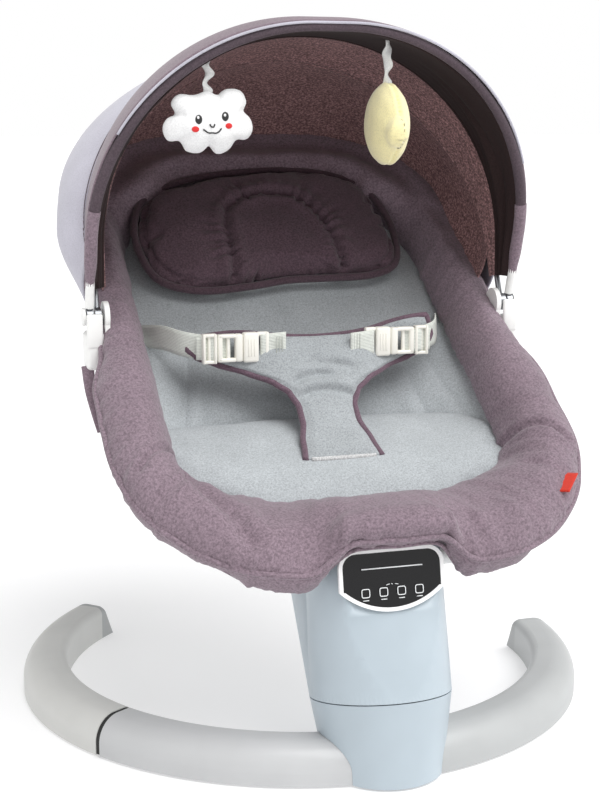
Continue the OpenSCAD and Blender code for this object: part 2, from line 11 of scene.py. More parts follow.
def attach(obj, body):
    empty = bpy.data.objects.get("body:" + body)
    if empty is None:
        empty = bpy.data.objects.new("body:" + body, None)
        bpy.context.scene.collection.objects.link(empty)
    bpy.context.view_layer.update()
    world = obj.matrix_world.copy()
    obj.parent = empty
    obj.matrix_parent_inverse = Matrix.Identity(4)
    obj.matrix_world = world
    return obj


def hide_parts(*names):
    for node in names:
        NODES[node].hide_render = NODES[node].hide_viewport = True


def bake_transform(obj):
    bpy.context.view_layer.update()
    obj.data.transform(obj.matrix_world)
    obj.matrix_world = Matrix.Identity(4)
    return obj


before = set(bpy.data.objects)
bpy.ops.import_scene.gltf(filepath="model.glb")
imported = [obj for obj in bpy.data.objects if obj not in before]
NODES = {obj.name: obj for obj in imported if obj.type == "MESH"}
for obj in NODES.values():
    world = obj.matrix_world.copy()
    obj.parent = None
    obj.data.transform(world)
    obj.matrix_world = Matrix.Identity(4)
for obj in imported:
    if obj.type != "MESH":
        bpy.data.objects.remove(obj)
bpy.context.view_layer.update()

bl_info = {
    "name": "Electric Baby Swing",
    "version": (1, 0, 0),
    "blender": (4, 5, 0),
    "location": "View3D > Sidebar > Swing",
    "description": "Fabric, plastics and stage for a baby swing on its fixed CAD frame",
    "category": "Object",
}

MM = 0.001

# Sizes and places below are in millimetres from the column's foot, which is here in the frame
FOOT_Y, FOOT_Z = -254, 2
# The seat's rim lies in a plane that starts here and rises to the head end
RIM_Y, RIM_Z = -15, 190
RIM_TILT = math.radians(34)
# Seat tube's loop: half its width, its corners' radius, and where it starts and ends along the rim
TUBE_X = 200
CORNER_R = 130
LOOP_FOOT = 40
LOOP_HEAD = 645
# Hood's pivots
HUB_Y, HUB_Z = 260, 396


def linear(code):
    """Linear colour of an sRGB hex value."""
    parts = [int(code[i:i + 2], 16) / 255 for i in (0, 2, 4)]
    return tuple(c / 12.92 if c <= 0.04045 else ((c + 0.055) / 1.055) ** 2.4 for c in parts)


def colour(name, code, note):
    """Colour property whose default is an sRGB hex value."""
    return FloatVectorProperty(name=name, description=note, subtype="COLOR", size=3, min=0, max=1,
                               default=linear(code))


def length(name, value, note):
    """Length property whose default is in millimetres."""
    return FloatProperty(name=name, description=note, subtype="DISTANCE", unit="LENGTH", min=0, default=value * MM)


class SwingColours(bpy.types.PropertyGroup):
    rim: colour("Rim fabric", "877680", "Heathered mauve fabric of the rim and the hood's brim")
    pillow: colour("Pillow fabric", "5D4A53", "Dark fabric of the head pillow")
    panel: colour("Seat fabric", "B4B9BC", "Light grey jersey of the seat and back")
    lining: colour("Hood lining", "4E3B3B", "Speckled lining of the hood")
    cover: colour("Hood cover", "C5C3CE", "Light outer cover of the hood")
    binding: colour("Binding", "6E5965", "Tape on the edges of the pads")
    webbing: colour("Webbing", "EEF2EA", "Woven harness straps")
    buckle: colour("Buckle plastic", "F7F5EC", "Moulded buckles and sliders")
    shell: colour("Column plastic", "B3BFC7", "Satin plastic of the column and its head")
    trim: colour("White plastic", "F6F6F4", "Bezel, sockets and hood hubs")
    left_leg: colour("Left leg", "D0D0CD", "Warm grey of the left leg")
    front_tube: colour("Front tube", "C2C3C4", "Silver of the front tube")
    right_leg: colour("Right leg", "B4B6B6", "Light silver of the right leg")
    tab: colour("Tab", "DC3A28", "Woven tab on the rim")
    cloud: colour("Cloud toy", "F4F4F4", "White plush")
    moon: colour("Moon toy", "FBF0B6", "Pale yellow plush")


class SwingSizes(bpy.types.PropertyGroup):
    piping: length("Piping radius", 3.0, "Radius of the cord piped into the rim's edge")
    binding: length("Binding radius", 3.2, "Half the width of the tape on the pads' edges")
    seam: length("Seam depth", 5.0, "Depth of the rim's sewn seams")
    crown: length("Seat crown", 11.0, "Height of the seat pad's stuffing")


# ------------------------------------------------------------------ places
def at(x, y, z):
    """Point in the frame, in metres, from millimetres at the column's foot."""
    return Vector((x, y + FOOT_Y, z + FOOT_Z)) * MM


def rim_at(x, u, b=0.0):
    """Point u along the rim's plane from its front and b above the plane."""
    c, s = math.cos(RIM_TILT), math.sin(RIM_TILT)
    return at(x, RIM_Y + u * c - b * s, RIM_Z + u * s + b * c)


def hood_at(x, r, degrees):
    """Point at height r above the hood pivots' line, in a plane at this angle."""
    a = math.radians(degrees)
    return at(x, HUB_Y + r * math.cos(a), HUB_Z + r * math.sin(a))


def smooth(k):
    """Eased step from 0 to 1 as k goes from 0 to 1."""
    k = max(0.0, min(1.0, k))
    return k * k * (3 - 2 * k)


def mix(a, b, k):
    """Value k of the way from a to b."""
    return a + (b - a) * k


def loop_at(s):
    """Seat tube's centre line, s from 0 to 1 from the middle of the foot by the right.

    Gives x, u and the direction outwards from the loop in x and u.
    """
    side = LOOP_HEAD - LOOP_FOOT - 2 * CORNER_R
    end = TUBE_X - CORNER_R
    arc = CORNER_R * math.pi / 2
    half = 2 * end + 2 * arc + side
    flip = 1 if s % 1 <= 0.5 else -1
    d = half * 2 * (s % 1 if flip > 0 else 1 - s % 1)
    if d < end:
        x, u, ox, ou = d, LOOP_FOOT, 0, -1
    elif d < end + arc:
        a = (d - end) / CORNER_R - math.pi / 2
        ox, ou = math.cos(a), math.sin(a)
        x, u = end + CORNER_R * ox, LOOP_FOOT + CORNER_R + CORNER_R * ou
    elif d < end + arc + side:
        x, u, ox, ou = TUBE_X, LOOP_FOOT + CORNER_R + d - end - arc, 1, 0
    elif d < end + 2 * arc + side:
        a = (d - end - arc - side) / CORNER_R
        ox, ou = math.cos(a), math.sin(a)
        x, u = end + CORNER_R * ox, LOOP_HEAD - CORNER_R + CORNER_R * ou
    else:
        x, u, ox, ou = half - d, LOOP_HEAD, 0, 1
    return flip * x, u, flip * ox, ou


def spline(points, closed=False):
    """Function of 0 to 1 that passes smoothly through the points."""
    pts = [Vector(p) for p in points]
    n = len(pts)
    spans = n if closed else n - 1

    def place(t):
        k = min(max(t, 0.0), 1.0) * spans
        i = min(int(k), spans - 1)
        f = k - i
        if closed:
            a, b, c, d = (pts[(i + j) % n] for j in (-1, 0, 1, 2))
        else:
            a, b, c, d = (pts[min(max(i + j, 0), n - 1)] for j in (-1, 0, 1, 2))
        bend = 2 * a - 5 * b + 4 * c - d
        twist = 3 * b - a - 3 * c + d
        return 0.5 * (2 * b + (c - a) * f + bend * f ** 2 + twist * f ** 3)
    return place


def ripple(p, scale, seed=0.0):
    """Smooth noise from -1 to 1 with features of this size in millimetres."""
    step = scale * MM
    return noise.noise(Vector((p[0] / step + seed, p[1] / step, p[2] / step)))


# ------------------------------------------------------------------ pieces
def piece(name, bm, material, body=None, sharp=None):
    """Object at the origin from a bmesh, which rides on a body of the frame."""
    mesh = bpy.data.meshes.new(name)
    bm.to_mesh(mesh)
    bm.free()
    for part in material if isinstance(material, (list, tuple)) else [material]:
        mesh.materials.append(part)
    mesh.shade_smooth()
    if sharp:
        mesh.set_sharp_from_angle(angle=math.radians(sharp))
    obj = bpy.data.objects.new(name, mesh)
    bpy.context.scene.collection.objects.link(obj)
    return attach(obj, body) if body else obj


def sheet(nu, nv, place, wrap=False, bm=None, size=None):
    """Grid laid on place(s, t), with s and t from 0 to 1, and its UV map in metres if size is given."""
    bm = bm or bmesh.new()
    layer = bm.loops.layers.uv.verify()
    made = bmesh.ops.create_grid(bm, x_segments=nu, y_segments=nv, size=0.5)["verts"]
    where = {v: (v.co.x + 0.5, v.co.y + 0.5) for v in made}
    for face in {f for v in made for f in v.link_faces}:
        for corner in face.loops:
            s, t = where[corner.vert]
            corner[layer].uv = (s * (size or (1, 1))[0], t * (size or (1, 1))[1])
    for v, (s, t) in where.items():
        v.co = place(s, t)
    if wrap:
        bmesh.ops.remove_doubles(bm, verts=made, dist=1e-6)
    return bm


def out(bm):
    """The bmesh with its faces turned outwards."""
    bmesh.ops.recalc_face_normals(bm, faces=bm.faces)
    return bm


def lifted(place, s, t, h):
    """place(s, t) moved by h millimetres along the surface's normal."""
    e = 1e-3
    du = place(min(s + e, 1), t) - place(max(s - e, 0), t)
    dv = place(s, min(t + e, 1)) - place(s, max(t - e, 0))
    n = du.cross(dv)
    return place(s, t) + (n.normalized() * h * MM if n.length > 1e-12 else Vector())


def cushion(nu, nv, place, top, bottom):
    """Closed pad about the sheet place(s, t), whose faces are top(s, t) and bottom(s, t) from it."""
    bm = bmesh.new()
    sheet(nu, nv, lambda s, t: lifted(place, s, t, top(s, t)), bm=bm)
    sheet(nu, nv, lambda s, t: lifted(place, s, t, -bottom(s, t)), bm=bm)
    bmesh.ops.bridge_loops(bm, edges=[e for e in bm.edges if e.is_boundary])
    return out(bm)


def pouch(nu, nv, half):
    """Closed bag of two sheets, half(1) and half(-1), which meet at their outline."""
    bm = bmesh.new()
    for side in (1, -1):
        sheet(nu, nv, half(side), bm=bm)
    bmesh.ops.remove_doubles(bm, verts=bm.verts, dist=1e-5)
    rims = [e for e in bm.edges if e.is_boundary]
    if rims:
        bmesh.ops.bridge_loops(bm, edges=rims)
    return out(bm)


def tube(points, radius, closed=False, sides=10, flat=1.0, bm=None, up=(0, 0, 1)):
    """Round or flattened cord swept along the points, with closed ends."""
    pts = [Vector(p) for p in points]
    n = len(pts)
    up = Vector(up)
    bm = bm or bmesh.new()
    old = []
    first = None
    for i, p in enumerate(pts):
        ahead = pts[(i + 1) % n] if closed or i < n - 1 else p
        behind = pts[i - 1] if closed or i > 0 else p
        run = (ahead - behind).normalized()
        side = run.cross(up)
        side = side.normalized() if side.length > 1e-6 else run.orthogonal().normalized()
        rise = side.cross(run)
        r = radius(i / (n - 1)) if callable(radius) else radius
        if not old:
            ring = bmesh.ops.create_circle(bm, segments=sides, radius=1.0)["verts"]
            first = ring
        else:
            edges = [e for e in {e for v in old for e in v.link_edges} if all(v in old for v in e.verts)]
            made = bmesh.ops.extrude_edge_only(bm, edges=edges)["geom"]
            new = {v for v in made if isinstance(v, bmesh.types.BMVert)}
            ring = []
            for v in old:
                ring.append(next(e.other_vert(v) for e in v.link_edges if e.other_vert(v) in new))
        for k, v in enumerate(ring):
            a = 2 * math.pi * k / sides
            v.co = p + side * (math.cos(a) * r) + rise * (math.sin(a) * r * flat)
        old = ring
    if closed:
        ends = [e for e in bm.edges
                if e.is_boundary and any(all(v in ring for v in e.verts) for ring in (old, first))]
        bmesh.ops.bridge_loops(bm, edges=ends)
    else:
        for ring in (first, old):
            bmesh.ops.contextual_create(bm, geom=ring)
    return bm


def block(bm, low, high, bevel=0.0, segments=3):
    """Box between two corners with rounded edges."""
    low, high = Vector(low), Vector(high)
    made = bmesh.ops.create_cube(bm, size=1.0)["verts"]
    for v in made:
        v.co = Vector(((v.co[i] + 0.5) * (high[i] - low[i]) + low[i]) for i in range(3))
    if bevel:
        edges = list({e for v in made for e in v.link_edges})
        bmesh.ops.bevel(bm, geom=edges, offset=bevel, offset_type="OFFSET", segments=segments, profile=0.5,
                        affect="EDGES", clamp_overlap=True, material=-1)
    return bm


def refine(obj):
    """Gives the piece one level of subdivision."""
    mod = obj.modifiers.new("Smooth surface", "SUBSURF")
    mod.levels = mod.render_levels = 1


def thicken(obj, name, thickness, offset=0):
    """Gives a sheet its thickness, in millimetres, evenly about its middle at offset 0."""
    mod = obj.modifiers.new(name, "SOLIDIFY")
    mod.thickness = thickness * MM
    mod.offset = offset


def bake_modifiers(obj):
    """Replaces the mesh with what its modifiers make of it."""
    shape = bpy.data.meshes.new_from_object(obj.evaluated_get(bpy.context.evaluated_depsgraph_get()))
    obj.modifiers.clear()
    shape.name = obj.data.name
    obj.data = shape
    obj.data.shade_smooth()


# Steps over which a cover fills
FILL_FRAMES = 20


def stuff(obj, voxel, pressure, cap, spare=0.0):
    """Fills a pad: its remeshed cover swells as cloth under pressure, and no point moves further than cap."""
    mod = obj.modifiers.new("Cover", "REMESH")
    mod.mode = "VOXEL"
    mod.voxel_size = voxel * MM
    bake_modifiers(obj)
    rest = [v.co.copy() for v in obj.data.vertices]
    cloth = obj.modifiers.new("Filling", "CLOTH")
    cloth.settings.quality = 4
    cloth.settings.mass = 0.25
    cloth.settings.use_pressure = True
    cloth.settings.uniform_pressure_force = pressure
    cloth.settings.shrink_min = -spare
    cloth.settings.effector_weights.gravity = 0
    cloth.point_cache.frame_start, cloth.point_cache.frame_end = 1, FILL_FRAMES
    for number in range(1, FILL_FRAMES + 1):
        bpy.context.scene.frame_set(number)
    bake_modifiers(obj)
    for v, start in zip(obj.data.vertices, rest):
        move = v.co - start
        if move.length > cap * MM:
            v.co = start + move.normalized() * cap * MM
    bpy.context.scene.frame_set(1)


def relax(obj, factor):
    """Moves each point this share of the way to the middle of its neighbours."""
    bm = bmesh.new()
    bm.from_mesh(obj.data)
    bmesh.ops.smooth_vert(bm, verts=bm.verts, factor=factor, use_axis_x=True, use_axis_y=True, use_axis_z=True)
    bm.to_mesh(obj.data)
    bm.free()


def seamed(obj, lines, depth, width, puff=0.0):
    """Sinks the surface along sewn lines, which are lists of points, and lets it swell beside them."""
    tree = KDTree(sum(len(line) for line in lines))
    i = 0
    for line in lines:
        for p in line:
            tree.insert(p, i)
            i += 1
    tree.balance()
    obj.data.update()
    normals = [v.normal.copy() for v in obj.data.vertices]
    for v, n in zip(obj.data.vertices, normals):
        d = tree.find(v.co)[2] / (width * MM)
        if d < 6:
            v.co += n * MM * (puff * math.exp(-((d - 2.2) / 1.2) ** 2) - depth * math.exp(-d * d))


def fold(obj, height):
    """Moves each point along its normal by height(point, normal), in millimetres."""
    obj.data.update()
    normals = [v.normal.copy() for v in obj.data.vertices]
    for v, n in zip(obj.data.vertices, normals):
        v.co += n * MM * height(v.co, n)


def on_surface(obj, points, lift=0.0):
    """The points moved onto the nearest place of the object's surface, and lift millimetres out from it."""
    bm = bmesh.new()
    bm.from_mesh(obj.data)
    tree = BVHTree.FromBMesh(bm)
    bm.free()
    found = []
    for p in points:
        spot, normal, _, _ = tree.find_nearest(p)
        found.append(spot + normal * lift * MM)
    return found


def mirrored(bm):
    """The bmesh with x turned over and its faces put right."""
    bmesh.ops.transform(bm, matrix=Matrix.Scale(-1, 4, (1, 0, 0)), verts=bm.verts)
    bmesh.ops.reverse_faces(bm, faces=bm.faces)
    return bm


# --------------------------------------------------------------- materials
def add(material, kind, settings=None, **links):
    """Adds a node with its settings, a ramp's stops among them, and links its inputs, with _ for a space."""
    tree = material.node_tree
    made = tree.nodes.new(kind)
    for key, value in (settings or {}).items():
        if key == "stops":
            band = made.color_ramp.elements
            while len(band) < len(value):
                band.new(0.5)
            for stop, (position, shade) in zip(band, value):
                stop.position, stop.color = position, (*shade, 1)
        elif key in made.inputs:
            made.inputs[key].default_value = value
        else:
            setattr(made, key, value)
    for key, source in links.items():
        tree.links.new(made.inputs[key.replace("_", " ")], source)
    return made


def finish_of(name, base, roughness, metallic=0.0, **settings):
    """New material, its one shader and its Object coordinates."""
    material = bpy.data.materials.new(name)
    material.use_nodes = True
    material.node_tree.nodes.clear()
    shader = add(material, "ShaderNodeBsdfPrincipled",
                 {"Base Color": (*base, 1), "Roughness": roughness, "Metallic": metallic, **settings})
    add(material, "ShaderNodeOutputMaterial", Surface=shader.outputs["BSDF"])
    where = add(material, "ShaderNodeTexCoord").outputs["Object"]
    return material, shader, where


def dim(shade, k):
    """The colour k times as bright."""
    return tuple(min(1.0, c * k) for c in shade)


def moulded(name, base, roughness, grain=0.4, depth=0.02):
    """Injection-moulded or painted plastic: faint spark-eroded grain and a slow drift in gloss."""
    material, shader, where = finish_of(name, base, roughness, **{"Specular IOR Level": 0.5, "IOR": 1.49})
    link = material.node_tree.links.new
    drift = add(material, "ShaderNodeTexNoise", {"Scale": 1 / (40 * MM), "Detail": 2.0}, Vector=where)
    tone = add(material, "ShaderNodeValToRGB", {"stops": [(0.3, dim(base, 0.97)), (0.7, dim(base, 1.02))]},
               Fac=drift.outputs["Fac"])
    link(tone.outputs["Color"], shader.inputs["Base Color"])
    gloss = add(material, "ShaderNodeMapRange", {"To Min": roughness - 0.04, "To Max": roughness + 0.05},
                Value=drift.outputs["Fac"])
    link(gloss.outputs["Result"], shader.inputs["Roughness"])
    skin = add(material, "ShaderNodeTexNoise", {"Scale": 1 / (grain * MM), "Detail": 1.0}, Vector=where)
    bump = add(material, "ShaderNodeBump", {"Strength": 0.12, "Distance": depth * MM},
               Height=skin.outputs["Fac"])
    link(bump.outputs["Normal"], shader.inputs["Normal"])
    return material


# Thread spacing of the melange cloths
THREAD = 0.55


def heather(name, base, dark=0.62, light=1.3, melange=2.2, sheen=0.25):
    """Melange cloth: mixed light and dark yarns over a plain weave, matt with a soft edge sheen."""
    material, shader, where = finish_of(name, base, 0.92, **{"Sheen Weight": sheen, "Sheen Roughness": 0.5,
                                                             "Specular IOR Level": 0.2})
    link = material.node_tree.links.new
    yarn = add(material, "ShaderNodeTexNoise", {"Scale": 1 / (melange * MM), "Detail": 3.0, "Roughness": 0.7},
               Vector=where)
    tone = add(material, "ShaderNodeValToRGB",
               {"stops": [(0.33, dim(base, dark)), (0.5, base), (0.66, dim(base, light))]},
               Fac=yarn.outputs["Fac"])
    patch = add(material, "ShaderNodeTexNoise", {"Scale": 1 / (45 * MM), "Detail": 2.0}, Vector=where)
    wash = add(material, "ShaderNodeValToRGB", {"stops": [(0.3, (0.9, 0.9, 0.9)), (0.7, (1.0, 1.0, 1.0))]},
               Fac=patch.outputs["Fac"])
    both = add(material, "ShaderNodeMix", {"data_type": "RGBA", "blend_type": "MULTIPLY", "Factor": 1.0})
    link(tone.outputs["Color"], both.inputs[6])
    link(wash.outputs["Color"], both.inputs[7])
    link(both.outputs[2], shader.inputs["Base Color"])
    # Threads are drawn about three times as coarse as they are, or they wouldn't show
    weave = add(material, "ShaderNodeTexNoise", {"Scale": 1 / (3 * THREAD * MM), "Detail": 2.0}, Vector=where)
    bump = add(material, "ShaderNodeBump", {"Strength": 0.5, "Distance": 0.35 * MM},
               Height=weave.outputs["Fac"])
    link(bump.outputs["Normal"], shader.inputs["Normal"])
    return material


# Length of one wave of the wave texture at scale 1
WAVE = 0.314


def woven(name, base, rib, depth=0.5):
    """Tape or webbing: ribs across its length, read from the piece's own UV map in metres."""
    material, shader, where = finish_of(name, base, 0.8, **{"Sheen Weight": 0.15, "Specular IOR Level": 0.3})
    link = material.node_tree.links.new
    flat = add(material, "ShaderNodeTexCoord").outputs["UV"]
    ribs = add(material, "ShaderNodeTexWave", {"Scale": WAVE / (rib * MM), "Distortion": 0.6, "Detail": 1.0,
                                               "bands_direction": "X"}, Vector=flat)
    tone = add(material, "ShaderNodeValToRGB", {"stops": [(0.2, dim(base, 0.8)), (0.8, dim(base, 1.05))]},
               Fac=ribs.outputs["Fac"])
    fleck = add(material, "ShaderNodeTexNoise", {"Scale": 1 / (1.5 * MM), "Detail": 2.0}, Vector=where)
    shade = add(material, "ShaderNodeValToRGB", {"stops": [(0.3, (0.88, 0.88, 0.88)), (0.7, (1, 1, 1))]},
                Fac=fleck.outputs["Fac"])
    both = add(material, "ShaderNodeMix", {"data_type": "RGBA", "blend_type": "MULTIPLY", "Factor": 1.0})
    link(tone.outputs["Color"], both.inputs[6])
    link(shade.outputs["Color"], both.inputs[7])
    link(both.outputs[2], shader.inputs["Base Color"])
    bump = add(material, "ShaderNodeBump", {"Strength": 0.6, "Distance": depth * MM},
               Height=ribs.outputs["Fac"])
    link(bump.outputs["Normal"], shader.inputs["Normal"])
    return material


def plush(name, base):
    """Short pile: soft mottled surface with strong sheen."""
    material, shader, where = finish_of(name, base, 0.95, **{"Sheen Weight": 0.5, "Sheen Roughness": 0.6,
                                                             "Specular IOR Level": 0.15})
    link = material.node_tree.links.new
    pile = add(material, "ShaderNodeTexNoise", {"Scale": 1 / (1.4 * MM), "Detail": 3.0}, Vector=where)
    tone = add(material, "ShaderNodeValToRGB", {"stops": [(0.3, dim(base, 0.86)), (0.6, base)]},
               Fac=pile.outputs["Fac"])
    link(tone.outputs["Color"], shader.inputs["Base Color"])
    bump = add(material, "ShaderNodeBump", {"Strength": 0.5, "Distance": 0.5 * MM}, Height=pile.outputs["Fac"])
    link(bump.outputs["Normal"], shader.inputs["Normal"])
    return material


def metal(name, base, roughness, scratch=0.5):
    """Plated or turned metal with fine drawn lines."""
    material, shader, where = finish_of(name, base, roughness, 1.0)
    link = material.node_tree.links.new
    long = add(material, "ShaderNodeMapping", {"Scale": (1, 12, 12)}, Vector=where)
    lines = add(material, "ShaderNodeTexNoise", {"Scale": 1 / (scratch * 10 * MM), "Detail": 3.0},
                Vector=long.outputs["Vector"])
    spread = add(material, "ShaderNodeMapRange", {"To Min": roughness - 0.08, "To Max": roughness + 0.1},
                 Value=lines.outputs["Fac"])
    link(spread.outputs["Result"], shader.inputs["Roughness"])
    tone = add(material, "ShaderNodeValToRGB", {"stops": [(0.3, dim(base, 0.9)), (0.7, base)]},
               Fac=lines.outputs["Fac"])
    link(tone.outputs["Color"], shader.inputs["Base Color"])
    return material


def clothe(node, material):
    """Gives a CAD node its material."""
    slots = NODES[node].data.materials
    slots.clear()
    slots.append(material)


def smooth_copy(name, node, material, body):
    """Merged copy of a faceted CAD node, with soft shading between its faces."""
    bm = bmesh.new()
    bm.from_mesh(NODES[node].data)
    bmesh.ops.remove_doubles(bm, verts=bm.verts, dist=1e-5)
    bmesh.ops.dissolve_degenerate(bm, edges=bm.edges, dist=1e-6)
    obj = piece(name, bm, material, body, sharp=35)
    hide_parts(node)


# ------------------------------------------------------------------- rim
# Section of the padded rim: outward from the seat tube, and above the rim's plane
RIM_SECTION = [(30, 1), (26, 11), (11, 20), (-7, 19), (-20, 7), (-29, -12), (-36, -29), (-32, -37),
               (-22, -27), (-8, -22), (8, -20), (19, -22), (26, -14)]
# Points of the section where its piping and its hem are sewn, as shares of the way round
PIPED, HEM = 0.0, 11 / 13


def rim_surface():
    """Function from round the loop and round the section, both 0 to 1, to a point of the padded rim."""
    section = spline([(a, b, 0) for a, b in RIM_SECTION], closed=True)
    core = 14

    def place(s, t):
        x, u, ox, ou = loop_at(s)
        raw, b, _ = section(t)
        # The rim arches over the column's head, and its inner and outer sides widen and narrow along it
        arch = smooth((72 - abs(x)) / 26) if u < 60 else 0
        inner = 1 + 2.1 * smooth((175 - u) / 130) + 2.2 * smooth((u - 470) / 120)
        outer = min(1 - 0.95 * smooth((u - 250) / 70), 1 - 0.85 * arch)
        a = raw
        if raw < -core:
            a = -core + (raw + core) * inner
        elif raw > core:
            a = core + (raw - core) * outer
        b += 24 * arch * smooth((raw + 42) / 42) + (10 * arch if b < -15 and a > 0 else 0)
        # Under the pillow the cloth runs inwards over the end of the sling
        b += 36 * smooth((u - 490) / 90) * smooth((-core - raw) / 15)
        # The skirt hangs lower beside the column's head
        if b < -12 and raw > -10:
            b -= 8 * smooth((150 - abs(x)) / 30) * smooth((62 - u) / 12) * (1 - arch)
        return rim_at(x + a * ox, u + a * ou, b)
    return place


def plan_line(points, b):
    """Line through points of the rim's plane, at height b above it."""
    line = spline([(x, u, 0) for x, u in points])
    steps = 40
    return [rim_at(*line(i / steps)[:2], b) for i in range(steps + 1)]


# Seams across the rim by the front corners, and the dent beside the left one
CORNER_SEAMS = [[(-212, 132), (-196, 152), (-166, 174)], [(214, 134), (190, 160), (140, 178)]]
CORNER_DENT = [(-150, 150), (-156, 112), (-128, 40)]


class SWING_OT_padded_rim(bpy.types.Operator):
    """Padded rim over the seat's tube, with its piping, hem and woven tab"""
    bl_idname = "swing.padded_rim"
    bl_label = "Padded Rim"

    def execute(self, context):
        sizes, shades = context.scene.swing_sizes, context.scene.swing_colours
        cloth = heather("Mauve melange cotton weave", shades.rim)
        place = rim_surface()
        rim = piece("rim_cover", out(sheet(220, 52, place, wrap=True)), cloth)
        stuff(rim, voxel=6.5, pressure=3.0, cap=4.0, spare=0.02)
        refine(rim)
        bake_modifiers(rim)
        for line in CORNER_SEAMS:
            seamed(rim, [plan_line(line, b) for b in range(-36, 26, 2)], sizes.seam / MM, 3.2, 1.8)
        seamed(rim, [on_surface(rim, plan_line(CORNER_DENT, 14))], 5.0, 7.0, 3.0)
        # Gathers run out from the middle of the seat
        middle = 300

        def gathers(p, n):
            x, y, z = p / MM
            u = (y - FOOT_Y - RIM_Y) * math.cos(RIM_TILT) + (z - FOOT_Z - RIM_Z) * math.sin(RIM_TILT)
            turn = math.atan2(u - middle, x)
            away = math.hypot(x, u - middle)
            radial = noise.noise(Vector((turn * 22, away / 90, 4.0)))
            fine = noise.noise(Vector((turn * 60, away / 60, 9.0)))
            front = smooth((230 - u) / 80) * smooth((math.hypot(x, (u - middle) * 0.8) - 190) / 40)
            return 2.0 * ripple(p, 55, 3.0) + 1.8 * radial + front * 2.2 * fine + 0.8 * ripple(p, 20, 8.0)
        fold(rim, gathers)
        relax(rim, 0.3)
        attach(rim, "seat")
        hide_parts("padded_rim")

        steps = 300
        for name, t, radius, lift in (("rim_piping", PIPED, sizes.piping, 0.6),
                                      ("rim_hem", HEM, sizes.piping * 0.7, 0.2)):
            path = on_surface(rim, [place(i / steps, t) for i in range(steps)], lift)
            for _ in range(4):
                path = [(path[i - 1] + path[i] * 2 + path[(i + 1) % steps]) / 4 for i in range(steps)]
            piece(name, out(tube(path, radius, closed=True)), cloth, "seat")

        # Woven tab folded into the piping
        tab_cloth = woven("Red woven satin tab", shades.tab, rib=0.8, depth=0.2)

        def tab(s, t):
            rise = 22 - 3.5 * math.sin(math.pi * t) - 8 * (1 - t) ** 2
            sewn = rim_at(mix(168, 186, s) + mix(-0.6, 3, t), mix(78, 100, s) - 2.8 * t, rise)
            return sewn + Vector((14, -9, -6)) * t * MM
        label = piece("rim_tab_label", sheet(10, 14, tab, size=(0.026, 0.013)), tab_cloth, "seat")
        thicken(label, "Cloth", 1.2)
        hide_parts("rim_tab")
        return {"FINISHED"}


# ------------------------------------------------------------------ seat
# Fold between the seat and its back, and the head end of the back
FOLD = (0, 240, 283)
HEAD = (0, 486, 530)


def sling_row(centre, edge, power):
    """Row of the sling from left to right: level in the middle, and rising to the rim at the sides."""
    def place(s):
        k = 2 * s - 1
        rise = abs(k) ** power
        return Vector((edge[0] * k, mix(centre[1], edge[1], rise), mix(centre[2], edge[2], rise)))
    return place


def rim_edge(x, u, b):
    """As rim_at, in millimetres at the column's foot."""
    p = rim_at(x, u, b) / MM
    return Vector((p[0], p[1] - FOOT_Y, p[2] - FOOT_Z))


